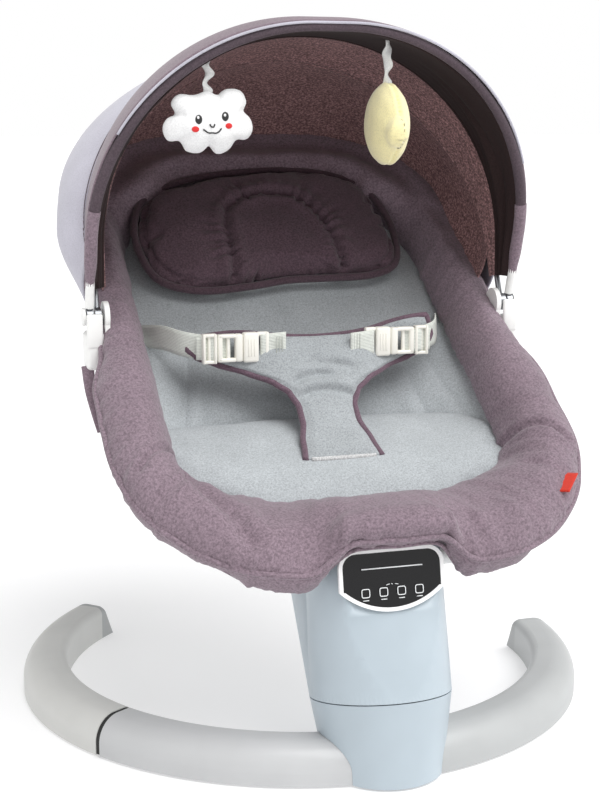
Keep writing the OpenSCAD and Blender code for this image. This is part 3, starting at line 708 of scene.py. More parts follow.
class SWING_OT_seat_pads(bpy.types.Operator):
    """Seat cushion and the back of the sling, in light grey jersey"""
    bl_idname = "swing.seat_pads"
    bl_label = "Seat and Back"

    def execute(self, context):
        sizes, shades = context.scene.swing_sizes, context.scene.swing_colours
        jersey = heather("Light grey melange jersey", shades.panel, dark=0.72, light=1.2, melange=1.5,
                         sheen=0.15)
        crown = sizes.crown / MM

        # Centre, side edge and how square the row is, from the front of the seat to the fold
        seat_rows = [
            (rim_edge(0, 104, -36), rim_edge(174, 146, -34), 2.6),
            (Vector((0, 125, 243)), rim_edge(184, 178, -34), 4.0),
            (Vector((0, 175, 260)), rim_edge(188, 208, -34), 6.0),
            (Vector((0, 222, 274)), rim_edge(188, 226, -36), 8.0),
            (Vector((0, 243, 279)), rim_edge(186, 238, -38), 9.0)]
        back_rows = [
            (Vector((0, 238, 272)), rim_edge(178, 214, -38), 7.0),
            (Vector((0, 262, 305)), rim_edge(178, 262, -36), 6.0),
            (Vector((0, 310, 352)), rim_edge(178, 330, -36), 5.0),
            (Vector((0, 360, 402)), rim_edge(178, 400, -36), 4.5),
            (Vector((0, 420, 462)), rim_edge(176, 480, -36), 4.0),
            (Vector((0, 470, 515)), rim_edge(160, 560, -34), 3.5),
            (Vector((0, 512, 540)), rim_edge(120, 618, -30), 3.0)]

        def rows(entries):
            mid = spline([e[0] for e in entries])
            side = spline([e[1] for e in entries])
            power = spline([(e[2], 0, 0) for e in entries])

            def place(s, t):
                return at(*sling_row(mid(t), side(t), power(t)[0])(s))
            return place

        seat = rows(seat_rows)

        def stuffing(s, t):
            along = math.sin(math.pi * min(max(t, 0.02), 0.98)) ** 0.6
            return 2 + crown * (1 - abs(2 * s - 1) ** 4) * along
        pad = piece("seat_cushion", cushion(44, 30, seat, stuffing, lambda s, t: 3), jersey)
        stuff(pad, voxel=5.5, pressure=2.0, cap=4.0)
        refine(pad)
        bake_modifiers(pad)
        fold(pad, lambda p, n: 1.2 * ripple(p, 45, 1.0) + 0.5 * ripple(p, 18, 5.0))
        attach(pad, "seat")
        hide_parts("seat_panel")

        back = rows(back_rows)

        def draped(s, t):
            p = back(s, t)
            side = abs(2 * s - 1)
            # Loose cloth falls in soft folds from the straps to the crease
            pull = smooth((side - 0.45) / 0.3) * smooth((0.5 - t) / 0.2)
            lines = noise.noise(Vector((side * 13 + t * 6, t * 2.5, 2.0 if s > 0.5 else 7.0)))
            return p + Vector((0, -0.7, 0.7)) * MM * (7.0 * pull * lines + 3.0 * ripple(p, 80, 2.0))

        def batting(s, t):
            return 3 + 4 * math.sin(math.pi * s) ** 0.5
        sling = piece("back_sling", cushion(60, 70, draped, batting, lambda s, t: 4), jersey)
        refine(sling)
        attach(sling, "seat")
        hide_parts("back_panel")

        # Pale overlocked edge where the cushion meets the rim
        thread = woven("Pale overlock thread", (0.62, 0.62, 0.62), rib=1.2, depth=0.5)
        edge = on_surface(pad, [seat(i / 80, 0.0) for i in range(81)], 1.0)
        piece("seat_edge_stitching", tube(edge, 1.4 * MM, sides=8), thread, "seat")
        return {"FINISHED"}


# ---------------------------------------------------------------- pillow
PILLOW_MIDDLE = 80


def pillow_frame():
    """Function from across, up the pillow and out of the back, in millimetres, to a point."""
    along = Vector((0, HEAD[1] - FOLD[1], HEAD[2] - FOLD[2])).normalized()
    off = Vector((0, -along.z, along.y))
    start = Vector(FOLD) + along * 164
    # It lies a little turned about its middle
    turn = math.radians(4)

    def place(p, q, h):
        x = p * math.cos(turn) - (q - PILLOW_MIDDLE) * math.sin(turn)
        v = p * math.sin(turn) + (q - PILLOW_MIDDLE) * math.cos(turn) + PILLOW_MIDDLE
        return at(*(start + Vector((x, 0, 0)) + along * v + off * h))
    return place


# Outline and arched channel of the pillow, across and up
PILLOW_EDGE = [(0, 4), (45, 2), (96, 1), (128, 14), (140, 50), (139, 92), (124, 128), (90, 150), (45, 161),
               (0, 163), (-45, 161), (-92, 152), (-132, 132), (-151, 96), (-153, 56), (-140, 18), (-100, 0), (-45, 0)]
PILLOW_CHANNEL = [(-62, 4), (-58, 40), (-56, 72), (-48, 98), (-24, 112), (6, 115), (34, 106), (52, 82), (60, 48),
                  (64, 6)]


class SWING_OT_pillow(bpy.types.Operator):
    """Quilted head pillow with a bound edge and an arched channel"""
    bl_idname = "swing.pillow"
    bl_label = "Pillow"

    def execute(self, context):
        shades = context.scene.swing_colours
        cloth = heather("Dark mauve melange weave", shades.pillow, dark=0.6, light=1.35, melange=2.0)
        place = pillow_frame()
        outline = spline([(p, q, 0) for p, q in PILLOW_EDGE], closed=True)
        centre = Vector((0, PILLOW_MIDDLE, 0))

        def half(side):
            def surface(s, t):
                p = centre.lerp(outline(s), t)
                return place(p[0], p[1], 20 + side * (11 * (1 - t ** 5) ** 0.6 + 2))
            return surface
        pillow = piece("head_pillow", pouch(90, 16, half), cloth)
        stuff(pillow, voxel=4.5, pressure=4.0, cap=7.0, spare=0.03)
        refine(pillow)
        bake_modifiers(pillow)
        line = spline([(p, q, 0) for p, q in PILLOW_CHANNEL])
        channel = [place(*line(i / 90)[:2], h) for i in range(91) for h in (29, 37)]
        border = [place(*centre.lerp(outline(i / 160), 0.93)[:2], h) for i in range(160) for h in (23, 29)]
        seamed(pillow, [channel], 8.0, 4.5, 2.5)
        seamed(pillow, [border], 3.5, 2.4, 0.8)

        # Folds run out from the channel, x across and up along the back from the pillow's lower edge
        def gathers(p, n):
            x, y, z = p / MM
            up = (y - FOOT_Y - FOLD[1]) * 0.706 + (z - FOLD[2]) * 0.708 - 152
            spread = math.hypot(x, up - 70)
            turn = math.atan2(up - 60, x)
            near = smooth((spread - 48) / 10) * smooth((96 - spread) / 34)
            folds = noise.noise(Vector((turn * 11, spread / 60, 1.0)))
            return near * 6.0 * folds + 1.8 * ripple(p, 34, 6.0) + 0.8 * ripple(p, 12, 2.0)
        fold(pillow, gathers)
        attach(pillow, "seat")
        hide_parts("pillow")
        tape = heather("Dark binding tape", dim(shades.pillow, 0.85), melange=1.6)
        path = [place(*outline(i / 160)[:2], 21) for i in range(160)]
        piece("pillow_binding", out(tube(path, 4.2 * MM, closed=True)), tape, "seat")
        return {"FINISHED"}


# --------------------------------------------------------------- harness
# Middle of the buckles, and the width of the webbing
BELT_Y, BELT_Z = 226, 364
WEB = 25
# Half width of the crotch pad at heights from its bottom edge, and its whole height
PAD_WIDTHS = [(0, 39), (20, 35), (38, 29), (54, 29), (66, 36), (75, 50), (83, 74), (91, 102), (99, 122),
              (110, 130), (132, 128)]
PAD_TALL = PAD_WIDTHS[-1][0]


def pad_width(q):
    """Half width of the crotch pad at height q, with its corners eased."""
    for (q0, w0), (q1, w1) in zip(PAD_WIDTHS, PAD_WIDTHS[1:]):
        if q <= q1:
            k = (q - q0) / (q1 - q0)
            return mix(w0, w1, 0.4 * smooth(k) + 0.6 * k)
    return PAD_WIDTHS[-1][1]


class SWING_OT_harness(bpy.types.Operator):
    """T-shaped crotch pad, waist straps, buckles and sliders"""
    bl_idname = "swing.harness"
    bl_label = "Harness"

    def execute(self, context):
        sizes, shades = context.scene.swing_sizes, context.scene.swing_colours
        jersey = heather("Crotch pad melange jersey", dim(shades.panel, 0.86), dark=0.7, light=1.2, melange=1.5,
                         sheen=0.15)
        tape = heather("Mauve binding tape", shades.binding, melange=1.4)
        pale = heather("Pale grey piping", (0.6, 0.6, 0.6), melange=1.2)
        web = woven("Ivory polyester webbing", shades.webbing, rib=1.5)
        plastic = moulded("Ivory acetal", shades.buckle, 0.38)
        stitch = woven("Bar tack thread", dim(shades.webbing, 0.8), rib=0.8)

        rise = spline([(0, 138, 265), (0, 166, 283), (0, 192, 306), (0, 212, 334), (0, 226, 360), (0, 236, 378)])

        # The arms lie further back than the stem, and their ends lift a little, the right one more
        def t_pad(s, t):
            x = (2 * s - 1) * pad_width(PAD_TALL * t)
            base = rise(t)
            back = 15 * smooth((abs(x) - 40) / 50)
            dip = 8 * (1 - smooth(abs(x) / 110)) * smooth((t - 0.8) / 0.2)
            lift = 8 * smooth((abs(x) - 60) / 70) * smooth((t - 0.7) / 0.3)
            return at(x, base[1] + back, base[2] - dip + lift * (1 if x > 0 else -0.8))

        def thickness(s, t):
            side = (1 - abs(2 * s - 1)) * pad_width(PAD_TALL * t)
            return 1.2 + 3.6 * smooth(side / 12) * smooth(t * PAD_TALL / 10) * smooth((1 - t) * PAD_TALL / 10)
        pad = piece("crotch_cover", cushion(46, 60, t_pad, thickness, thickness), jersey)
        refine(pad)
        bake_modifiers(pad)

        # Height, bow, left end, right end and depth of the creases where the stem bends
        bends = ((336, 10, -30, 12, 3.2), (322, 12, -26, 30, 3.6), (346, 6, -6, 36, 2.4))

        def creases(p, n):
            x, z = p[0] / MM, p[2] / MM - FOOT_Z
            line = 0.0
            for level, bow, left, right, deep in bends:
                d = z - level + bow * (x / 40) ** 2
                reach = deep * smooth((x - left) / 14 + 0.5) * smooth((right - x) / 14 + 0.5)
                line += reach * (0.7 * math.exp(-((d - 8) / 5) ** 2) - math.exp(-(d / 3.2) ** 2))
            return line + 0.8 * ripple(p, 22, 4.0)
        fold(pad, creases)
        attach(pad, "seat")
        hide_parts("crotch_pad")
        edge = [t_pad(0, i / 60) for i in range(61)]
        edge += [t_pad(i / 50, 1) for i in range(1, 51)]
        edge += [t_pad(1, 1 - i / 60) for i in range(1, 61)]
        piece("crotch_binding", tube(edge, sizes.binding), tape, "seat")
        hem = [t_pad(0.08 + 0.84 * i / 20, 0) for i in range(21)]
        piece("crotch_hem", tube(hem, sizes.binding * 0.8, sides=8), pale, "seat")

        for side, name, body in ((-1, "left", "left_buckle"), (1, "right", "right_buckle")):
            # Strap from the slot in the sling to the slider, turned a little about its length
            line = spline([(168 * side, 318, 366), (160 * side, 302, 368), (148 * side, 272, 370),
                           (134 * side, 246, 367), (112 * side, 230, 364)])

            def strap(s, t):
                lean = math.radians(mix(38 if side < 0 else 20, 2, smooth(t * 1.2)))
                across = Vector((0, math.sin(lean), math.cos(lean))) * (s - 0.5) * WEB
                return at(*(line(t) + across))
            belt = piece(f"{name}_strap", sheet(6, 40, strap, size=(WEB * MM, 0.12)), web)
            thicken(belt, "Webbing", 1.6)
            bake_modifiers(belt)
            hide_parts(f"{name}_webbing")
            at(*line(0.15))
            at(*line(0.85))
            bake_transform(belt)

            # Inner strap sewn to the pad, which goes through the buckle's body
            def inner(s, t):
                up = (s - 0.5) * WEB + side * 2 * (t - 1)
                return at(side * mix(34, 60, t), BELT_Y - mix(5, 3, t), BELT_Z + up)
            short = piece(f"{name}_inner_strap", sheet(6, 8, inner, size=(WEB * MM, 0.03)), web, "seat")
            thicken(short, "Webbing", 1.6, offset=-1)
            tack = bmesh.new()
            for x in (38, 41, 44):
                block(tack, at(x * side - 0.5, BELT_Y - 6.4, BELT_Z - 10),
                      at(x * side + 0.5, BELT_Y - 5.6, BELT_Z + 10), 0.3 * MM, 1)
            piece(f"{name}_bar_tacks", out(tack), stitch, "seat")

            # Buckle body: a flat sleeve with a thumb arch and a crossbar for its strap
            bm = bmesh.new()
            y0, y1, z0, z1 = BELT_Y - 6, BELT_Y + 5, BELT_Z - 15, BELT_Z + 15
            block(bm, at(62, y0, z0), at(78, y1, z1), 2.5 * MM)
            block(bm, at(52, y0 + 3, z0), at(63, y1 - 2, z0 + 4), 1.4 * MM)
            block(bm, at(52, y0 + 3, z1 - 4), at(63, y1 - 2, z1), 1.4 * MM)
            block(bm, at(51, y0 + 2, z0), at(55, y1 - 2, z1), 1.6 * MM)
            for x in (66, 69, 72):
                block(bm, at(x, y0 - 0.7, z0 + 6), at(x + 1.4, y0 + 0.6, z1 - 6), 0.5 * MM, 2)
            if side < 0:
                mirrored(bm)
            sleeve = piece(f"{name}_buckle_body", out(bm), plastic, "seat", sharp=40)
            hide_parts(f"{name}_buckle_socket")

            # Plug: shoulder, two springy prongs and a strap bar
            bm = bmesh.new()
            block(bm, at(78.4, y0 + 0.5, z0 + 1), at(86, y1 - 0.5, z1 - 1), 2.2 * MM)
            for z in (z0 + 1, z1 - 5):
                block(bm, at(85, y0 + 1.5, z), at(103, y1 - 1.5, z + 4), 1.4 * MM)
            block(bm, at(99, y0 + 1.5, z0 + 1), at(104, y1 - 1.5, z1 - 1), 1.8 * MM)
            block(bm, at(91, y0 + 3.5, z0 + 2), at(94.5, y1 - 3, z1 - 2), 1.4 * MM)
            if side < 0:
                mirrored(bm)
            plug = piece(f"{name}_buckle_tongue", out(bm), plastic, body, sharp=40)
            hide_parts(f"{name}_buckle_plug")

            # Three-bar slider
            bm = bmesh.new()
            for x, front, rear in ((105, 0.5, 2), (111, 3, 3.5), (116.5, 0.5, 2)):
                block(bm, at(x, y0 + front, z0), at(x + 2.8, y1 - rear, z1), 1.2 * MM)
            for z in (z0, z1 - 3.5):
                block(bm, at(105, y0 + 1.5, z), at(119, y1 - 2.5, z + 3.5), 1.3 * MM)
            if side < 0:
                mirrored(bm)
            bar = piece(f"{name}_strap_slider", out(bm), plastic, body, sharp=40)
            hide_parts(f"{name}_slider")

            # Strap through plug and slider, and its turned tail
            def fed(s, t):
                wave = 2.2 * math.sin(t * math.pi * 3)
                turned = 4 * smooth((t - 0.8) / 0.2)
                return at(side * mix(91, 124, t), BELT_Y - 1 + wave + turned, BELT_Z + (s - 0.5) * (WEB - 2))
            run = piece(f"{name}_fed_strap", sheet(6, 30, fed, size=((WEB - 2) * MM, 0.035)), web, body)
            thicken(run, "Webbing", 1.5, offset=-1)
        return {"FINISHED"}


# ------------------------------------------------------------------ hood
# Radius of the hoops' corners, then each hoop's half width, height and angle at rest
HOOP_BEND = 212
FRONT_HOOP = (225, 290, 107)
MIDDLE_HOOP = (217, 281, 68)


def arch(t, x, r):
    """Across and up at share t of a hoop of half width x and height r, from the left pivot to the right."""
    leg = r - HOOP_BEND
    flat = x - HOOP_BEND
    bend = HOOP_BEND * math.pi / 2
    flip = -1 if t < 0.5 else 1
    d = (leg + bend + flat) * 2 * (t if t < 0.5 else 1 - t)
    if d < leg:
        return flip * x, d
    if d < leg + bend:
        a = (d - leg) / HOOP_BEND
        return flip * (flat + HOOP_BEND * math.cos(a)), leg + HOOP_BEND * math.sin(a)
    return flip * (flat - (d - leg - bend)), r


class SWING_OT_hood(bpy.types.Operator):
    """Folding hood: outer cover, speckled lining, brim band and hoop sleeves"""
    bl_idname = "swing.hood"
    bl_label = "Hood"

    def execute(self, context):
        shades = context.scene.swing_colours
        brim = heather("Mauve brim weave", shades.rim, dark=0.7, light=1.25, melange=2.0)
        # Dark brown cloth of the brim's inner band, darkened further as painted shade under the brim
        inside = heather("Brown brim lining and painted shade", dim(shades.lining, 0.36), dark=0.8, light=1.2, melange=1.6,
                         sheen=0.04)
        lining = heather("Speckled hood lining", dim(shades.lining, 3.2), dark=0.35, light=2.2, melange=2.4,
                         sheen=0.06)
        cover = heather("Lilac grey hood cover", shades.cover, dark=0.9, light=1.06, melange=1.5, sheen=0.3)
        dark = heather("Dark hood piping", dim(shades.rim, 0.45), melange=1.4)
        white = moulded("White hub plastic", shades.trim, 0.35)

        def hoop(offset, which, t):
            """Point of a hoop's line at share t, moved outwards."""
            x, r, a = which
            across, up = arch(t, x + offset, r + offset)
            return hood_at(across, up, a)

        def between(t, v, offset, sag=0.0):
            """Sheet from the middle hoop, v 0, to the front hoop, v 1."""
            x = mix(MIDDLE_HOOP[0], FRONT_HOOP[0], v) + offset
            r = mix(MIDDLE_HOOP[1], FRONT_HOOP[1], v) + offset
            across, up = arch(t, x - sag * 0.3 * math.sin(math.pi * v), r - sag * math.sin(math.pi * v))
            return hood_at(across, up, mix(MIDDLE_HOOP[2], FRONT_HOOP[2], v))

        def rim_spot(t, outward, b):
            """Place on the head half of the rim, from its left hub, t 0, to the right."""
            x, u, ox, ou = loop_at(mix(0.7275, 0.2725, t))
            return rim_at(x + outward * ox, u + outward * ou, b)

        def rear(t, v, offset, outward, b, bulge):
            """Sheet from the rim's head end, v 0, to the middle hoop, v 1."""
            low = rim_spot(t, outward, b)
            high = hoop(offset, MIDDLE_HOOP, 0.07 + 0.86 * t)
            p = low.lerp(high, v)
            away = (p - at(0, HUB_Y + 60, HUB_Z + 20)).normalized()
            return p + away * MM * bulge * math.sin(math.pi * v) ** 0.8 * smooth(min(t, 1 - t) / 0.12 + 0.25)

        def way_on(degrees):
            """Direction in which a plane at this angle turns forwards about the pivots."""
            turn = math.radians(degrees)
            return Vector((0, -math.sin(turn), math.cos(turn)))

        # Two bodies and two places about the pivots, for the cloth between the hoops and for the cloth behind them
        halfway = (MIDDLE_HOOP[2] + FRONT_HOOP[2]) / 2
        start = hood_at(0, 200, halfway) - way_on(halfway) * 0.075
        end = hood_at(0, 200, halfway) + way_on(halfway) * 0.075
        rear_end = hood_at(0, 200, MIDDLE_HOOP[2])
        rear_start = rear_end - way_on(MIDDLE_HOOP[2]) * 0.18
        front_fold = ("hood_middle", "hood_front", start, end)
        rear_fold = ("seat", "hood_middle", rear_start, rear_end)

        def shell(name, material, place, thickness, fold_at, rows=24):
            """Sheet of the hood, given its thickness."""
            obj = piece(name, sheet(120, rows, place, size=(0.8, 0.25)), material)
            thicken(obj, "Cloth", thickness)
            bake_modifiers(obj)
            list(fold_at)
            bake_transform(obj)
            return obj

        # Seam between the smooth brim and the speckled lining, as a share of the way to the front hoop
        seam = 0.52
        span = (0.035, 0.965)

        def share(t):
            return mix(*span, t)

        def pleats(t, v, p, amount):
            """Depth of the lining's folds, which run down to its ends."""
            side = abs(2 * t - 1)
            legs = smooth((side - 0.25) / 0.35)
            folds = abs(noise.noise(Vector((v * 9.0, side * 1.6, 3.0 if t > 0.5 else 8.0))))
            return amount * (legs * (14.0 * folds - 3.0) + 1.5 * ripple(p, 60, 9.0))

        def inwards(p):
            return (at(0, HUB_Y, HUB_Z + 60) - p).normalized() * MM

        def inner_front(s, t):
            v = mix(seam, 1.0, t)
            p = between(share(s), v, mix(-5.5, -3.5, t ** 4), sag=3)
            depth = pleats(s, v, p, 0.8) * math.sin(math.pi * min(t, 0.98)) ** 0.5
            return p + inwards(p) * (3 * (1 - t ** 4) + depth)

        def inner_back(s, t):
            v = mix(0.0, seam, t)
            p = between(share(s), v, -5.5, sag=3)
            depth = pleats(s, v, p, 0.5) * math.sin(math.pi * t) ** 0.5
            return p + inwards(p) * (3 + depth)

        def outer_front(s, t):
            return between(share(s), t, 5.0, sag=2)

        def outer_rear(s, t):
            return rear(s, t, 5.0, 19, -6, 26)
        shell("hood_brim_lining", inside, inner_front, 1.2, front_fold)
        shell("hood_lining", lining, inner_back, 1.2, front_fold)
        shell("hood_rear_lining", lining, lambda s, t: rear(s, t, -8.5, 4, 14, 14), 1.2, rear_fold, rows=28)
        ridge = [inner_front(i / 160, 0.0) for i in range(161)]
        seam_cord = piece("hood_lining_seam", tube(ridge, 1.8 * MM, sides=8), inside)
        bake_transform(seam_cord)

        front_cover = shell("hood_front_cover", brim, outer_front, 1.4, front_fold)
        rear_cover = shell("hood_rear_cover", cover, outer_rear, 1.4, rear_fold, rows=30)
        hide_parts("front_hood_panel")
        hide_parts("rear_hood_panel", "middle_hood_panel")

        # Fabric sleeves over the hoops
        def sleeve(name, which, radius, material, body, ends, lift=0.0):
            path = [hoop(lift, which, mix(*ends, i / 160)) for i in range(161)]
            piece(name, out(tube(path, radius, sides=12, up=(0.02, 1, 0.3))), material, body)

        def slim(t):
            return (4.4 + 1.2 * smooth((abs(2 * t - 1) - 0.5) / 0.35)) * MM

        def leg(t):
            return (4.6 + 1.8 * smooth(t * 3)) * MM
        edging = heather("Brown mauve brim binding", dim(shades.rim, 0.4), dark=0.75, light=1.25, melange=1.8,
                         sheen=0.1)
        # The light edge stands just before the hoop: it is the cover's edge along the hoop's top, and a painted
        # highlight there too
        lip = (FRONT_HOOP[0], FRONT_HOOP[1], FRONT_HOOP[2] + 0.6)
        sleeve("front_hoop_sleeve", FRONT_HOOP, slim, edging, "hood_front", (0.1, 0.9))
        sleeve("left_leg_sleeve", FRONT_HOOP, leg, brim, "hood_front", (0.04, 0.13))
        sleeve("right_leg_sleeve", FRONT_HOOP, lambda t: leg(1 - t), brim, "hood_front", (0.87, 0.96))
        # Light strip along the front hoop's top only: partly the cover's edge, partly a painted highlight
        sleeve("front_hoop_edge_highlight", lip, 1.3 * MM, cover, "hood_front", (0.22, 0.82), lift=4.9)
        sleeve("middle_hoop_sleeve", MIDDLE_HOOP, 4.4 * MM, brim, "hood_middle", (0.06, 0.94))
        edge = [lifted(outer_rear, i / 160, 0.985, 1.5) for i in range(161)]
        piping = piece("hood_cover_piping", tube(edge, 2.2 * MM, sides=8), dark)
        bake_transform(piping)

        wire = metal("Spring steel wire", (0.35, 0.36, 0.38), 0.35)
        for node in ("front_hoop", "middle_hoop"):
            clothe(node, wire)
        # Clip with a front wall that covers the hoops' eyes, and the plug in the sleeve's end
        for side, name in ((-1, "left"), (1, "right")):
            bm = bmesh.new()
            block(bm, at(212, HUB_Y - 15, HUB_Z - 52), at(231, HUB_Y + 11, HUB_Z - 14), 5 * MM, 4)
            block(bm, at(214, HUB_Y - 16, HUB_Z - 30), at(230, HUB_Y - 11.5, HUB_Z + 4), 2.2 * MM, 3)
            if side < 0:
                mirrored(bm)
            piece(f"{name}_hub_clip", out(bm), white, "seat", sharp=50)
            clothe(f"{name}_hub", white)
            tie = spline([(side * 229, HUB_Y - 8, HUB_Z - 48), (side * 228, HUB_Y - 18, HUB_Z - 74),
                          (side * 221, HUB_Y - 32, HUB_Z - 110)])
            band = tube([at(*tie(i / 12)) for i in range(13)], lambda t: (6.5 - 2.5 * t) * MM, sides=12, flat=0.4,
                        up=(0, 1, 0))
            piece(f"{name}_clip_tie", out(band), brim, "seat")
            foot = [hood_at(side * FRONT_HOOP[0], r, FRONT_HOOP[2]) for r in (10, 16, 24, 32, 40)]
            plug = tube(foot, 4.6 * MM, sides=14, up=(1, 0, 0))
            piece(f"{name}_sleeve_plug", out(plug), white, "hood_front", sharp=50)
        return {"FINISHED"}


# ------------------------------------------------------------------ toys
# Outline of the cloud, across and up from its middle
CLOUD_EDGE = [(-1, 31), (9, 28), (19, 32), (32, 30), (38, 20), (36, 10), (42, 4), (45, -7), (39, -17), (29, -19),
              (22, -27), (10, -32), (0, -26), (-9, -31), (-22, -29), (-28, -20), (-40, -18), (-45, -6), (-40, 4),
              (-34, 8), (-36, 19), (-28, 27), (-14, 27)]


def hang_point(r):
    """Place of a toy's loop behind the front hoop, in millimetres at the column's foot."""
    turn = math.radians(104)
    return Vector((0, HUB_Y + r * math.cos(turn), HUB_Z + r * math.sin(turn)))


class SWING_OT_toys(bpy.types.Operator):
    """Two plush toys on their ribbons"""
    bl_idname = "swing.toys"
    bl_label = "Hanging Toys"

    def execute(self, context):
        shades = context.scene.swing_colours
        white = plush("White plush", shades.cloud)
        yellow = plush("Pale yellow plush", shades.moon)
        satin = woven("White satin ribbon", (0.86, 0.86, 0.85), rib=0.6, depth=0.15)
        black = moulded("Black embroidery", (0.02, 0.02, 0.02), 0.5)
        red = moulded("Red felt", (0.7, 0.03, 0.03), 0.8)
        cloud_hang, moon_hang = (hang_point(r) for r in (262, 273))

        # Cloud, with the middle of its front
        cx, cz = -118, cloud_hang.z - 65
        before = cloud_hang.y - 30
        outline = spline([(x, z, 0) for x, z in CLOUD_EDGE], closed=True)

        def cloud(side):
            def surface(s, t):
                p = Vector((0, 1, 0)).lerp(outline(s), t)
                return at(cx + p[0], cloud_hang.y - side * (2 + 11 * (1 - t ** 4) ** 0.6), cz + p[1])
            return surface
        puff = piece("cloud_plush", pouch(72, 12, cloud), white)
        stuff(puff, voxel=2.6, pressure=6.0, cap=4.0, spare=0.02)
        refine(puff)
        bake_modifiers(puff)
        fold(puff, lambda p, n: 0.6 * ripple(p, 14, 2.0))
        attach(puff, "cloud")
        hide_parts("cloud_toy")

        def stitched(name, lines, width):
            """Black threads on the cloud's face."""
            bm = bmesh.new()
            for line in lines:
                path = spline([(cx + x, cz + z, 0) for x, z in line])
                pts = on_surface(puff, [at(path(i / 14)[0], before, path(i / 14)[1]) for i in range(15)], 0.2)
                tube(pts, width * MM, sides=8, bm=bm, up=(0, 1, 0.01))
            piece(name, out(bm), black, "cloud")

        def dots(name, spots, material, base):
            """Flat beads on the cloud's face: across, up, half width and half height of each."""
            bm = bmesh.new()
            for x, z, w, h in spots:
                made = bmesh.ops.create_icosphere(bm, subdivisions=3, radius=1.0)["verts"]
                spot = on_surface(base, [at(cx + x, before, cz + z)])[0]
                for v in made:
                    v.co = spot + Vector((v.co.x * w, v.co.y * 0.9, v.co.z * h)) * MM
            return piece(name, out(bm), material, "cloud")
        eyes = dots("cloud_eyes", [(-13, 3, 3.4, 4.4), (13, 5, 3.4, 4.4)], black, puff)
        dots("cloud_eye_glints", [(-14, 5, 1.2, 1.4), (12, 7, 1.2, 1.4)], white, eyes)
        dots("cloud_cheeks", [(-16, -8, 3.6, 2.8), (17, -4, 3.4, 2.7)], red, puff)
        stitched("cloud_smile", [[(-9, -8), (-4, -11.5), (2, -12), (7, -10), (10, -6)],
                                 [(-2.5, -2), (-1, -4.5), (1.5, -4.5), (3, -1.5)]], 0.7)

        # Moon, a flattened ball that is seen from its side, with the middle of it
        mx, mz = 61, moon_hang.z - 78

        def moon(s, t):
            a = 2 * math.pi * s
            k = 2 * t - 1
            r = 38 * math.sqrt(max(0.0, 1 - k * k)) ** 0.9
            return at(mx + 19 * k, moon_hang.y + math.cos(a) * r * 0.98, mz + math.sin(a) * r * 1.04)
        ball = piece("moon_plush", out(sheet(56, 26, moon, wrap=True)), yellow)
        stuff(ball, voxel=2.8, pressure=5.0, cap=3.0)
        refine(ball)
        bake_modifiers(ball)
        turns = [i / 60 * math.tau for i in range(60)]
        equator = [at(mx, moon_hang.y + 38 * math.cos(a), mz + 40 * math.sin(a)) for a in turns]
        seamed(ball, [equator], 3.2, 1.7, 0.8)

        def nose(p, n):
            x, y, z = p / MM
            d = Vector(((x - (mx - 2)) / 8, (z - FOOT_Z - (mz - 8)) / 13))
            bulge = 9 * math.exp(-d.length_squared ** 2) if y - FOOT_Y < moon_hang.y else 0
            return bulge + 0.7 * ripple(p, 13, 4.0)
        fold(ball, nose)
        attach(ball, "moon")
        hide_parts("moon_toy")
        cheek = on_surface(ball, [at(mx + 30, moon_hang.y - 14, mz + 20)])[0]
        bm = bmesh.new()
        for v in bmesh.ops.create_icosphere(bm, subdivisions=3, radius=1.0)["verts"]:
            v.co = cheek + Vector((v.co.x * 0.8, v.co.y * 2.4, v.co.z * 3.0)) * MM
        piece("moon_eye", out(bm), black, "moon")

        # Crinkled ribbons
        for name, x, hang, drop, crinkle in (("cloud", cx, cloud_hang, 40, 3.6),
                                             ("moon", mx, moon_hang, 42, 1.6)):
            def ribbon(s, t):
                wave = crinkle * math.sin(t * 14) * smooth(t * 4) * smooth((1 - t) * 4 + 0.2)
                turn = 0.9 * math.sin(t * 9 + 1)
                across = Vector((math.cos(turn), math.sin(turn), 0)) * (s - 0.5) * 9
                return at(x + wave * 0.8 + across.x, hang.y + wave * 0.5 + across.y, hang.z + 2 - drop * t)
            tape = piece(f"{name}_hanging_ribbon", sheet(5, 40, ribbon, size=(0.009, 0.045)), satin, name)
            thicken(tape, "Ribbon", 0.8)
            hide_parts(f"{name}_ribbon")
        return {"FINISHED"}


# ------------------------------------------------------ column and ring
def on_column(x, y, t):
    """Point x across, y behind and t up the column's leaning axis from the head's seam."""
    a = math.radians(11)
    return at(x, 30 + y * math.cos(a) + t * math.sin(a), 67 - y * math.sin(a) + t * math.cos(a))


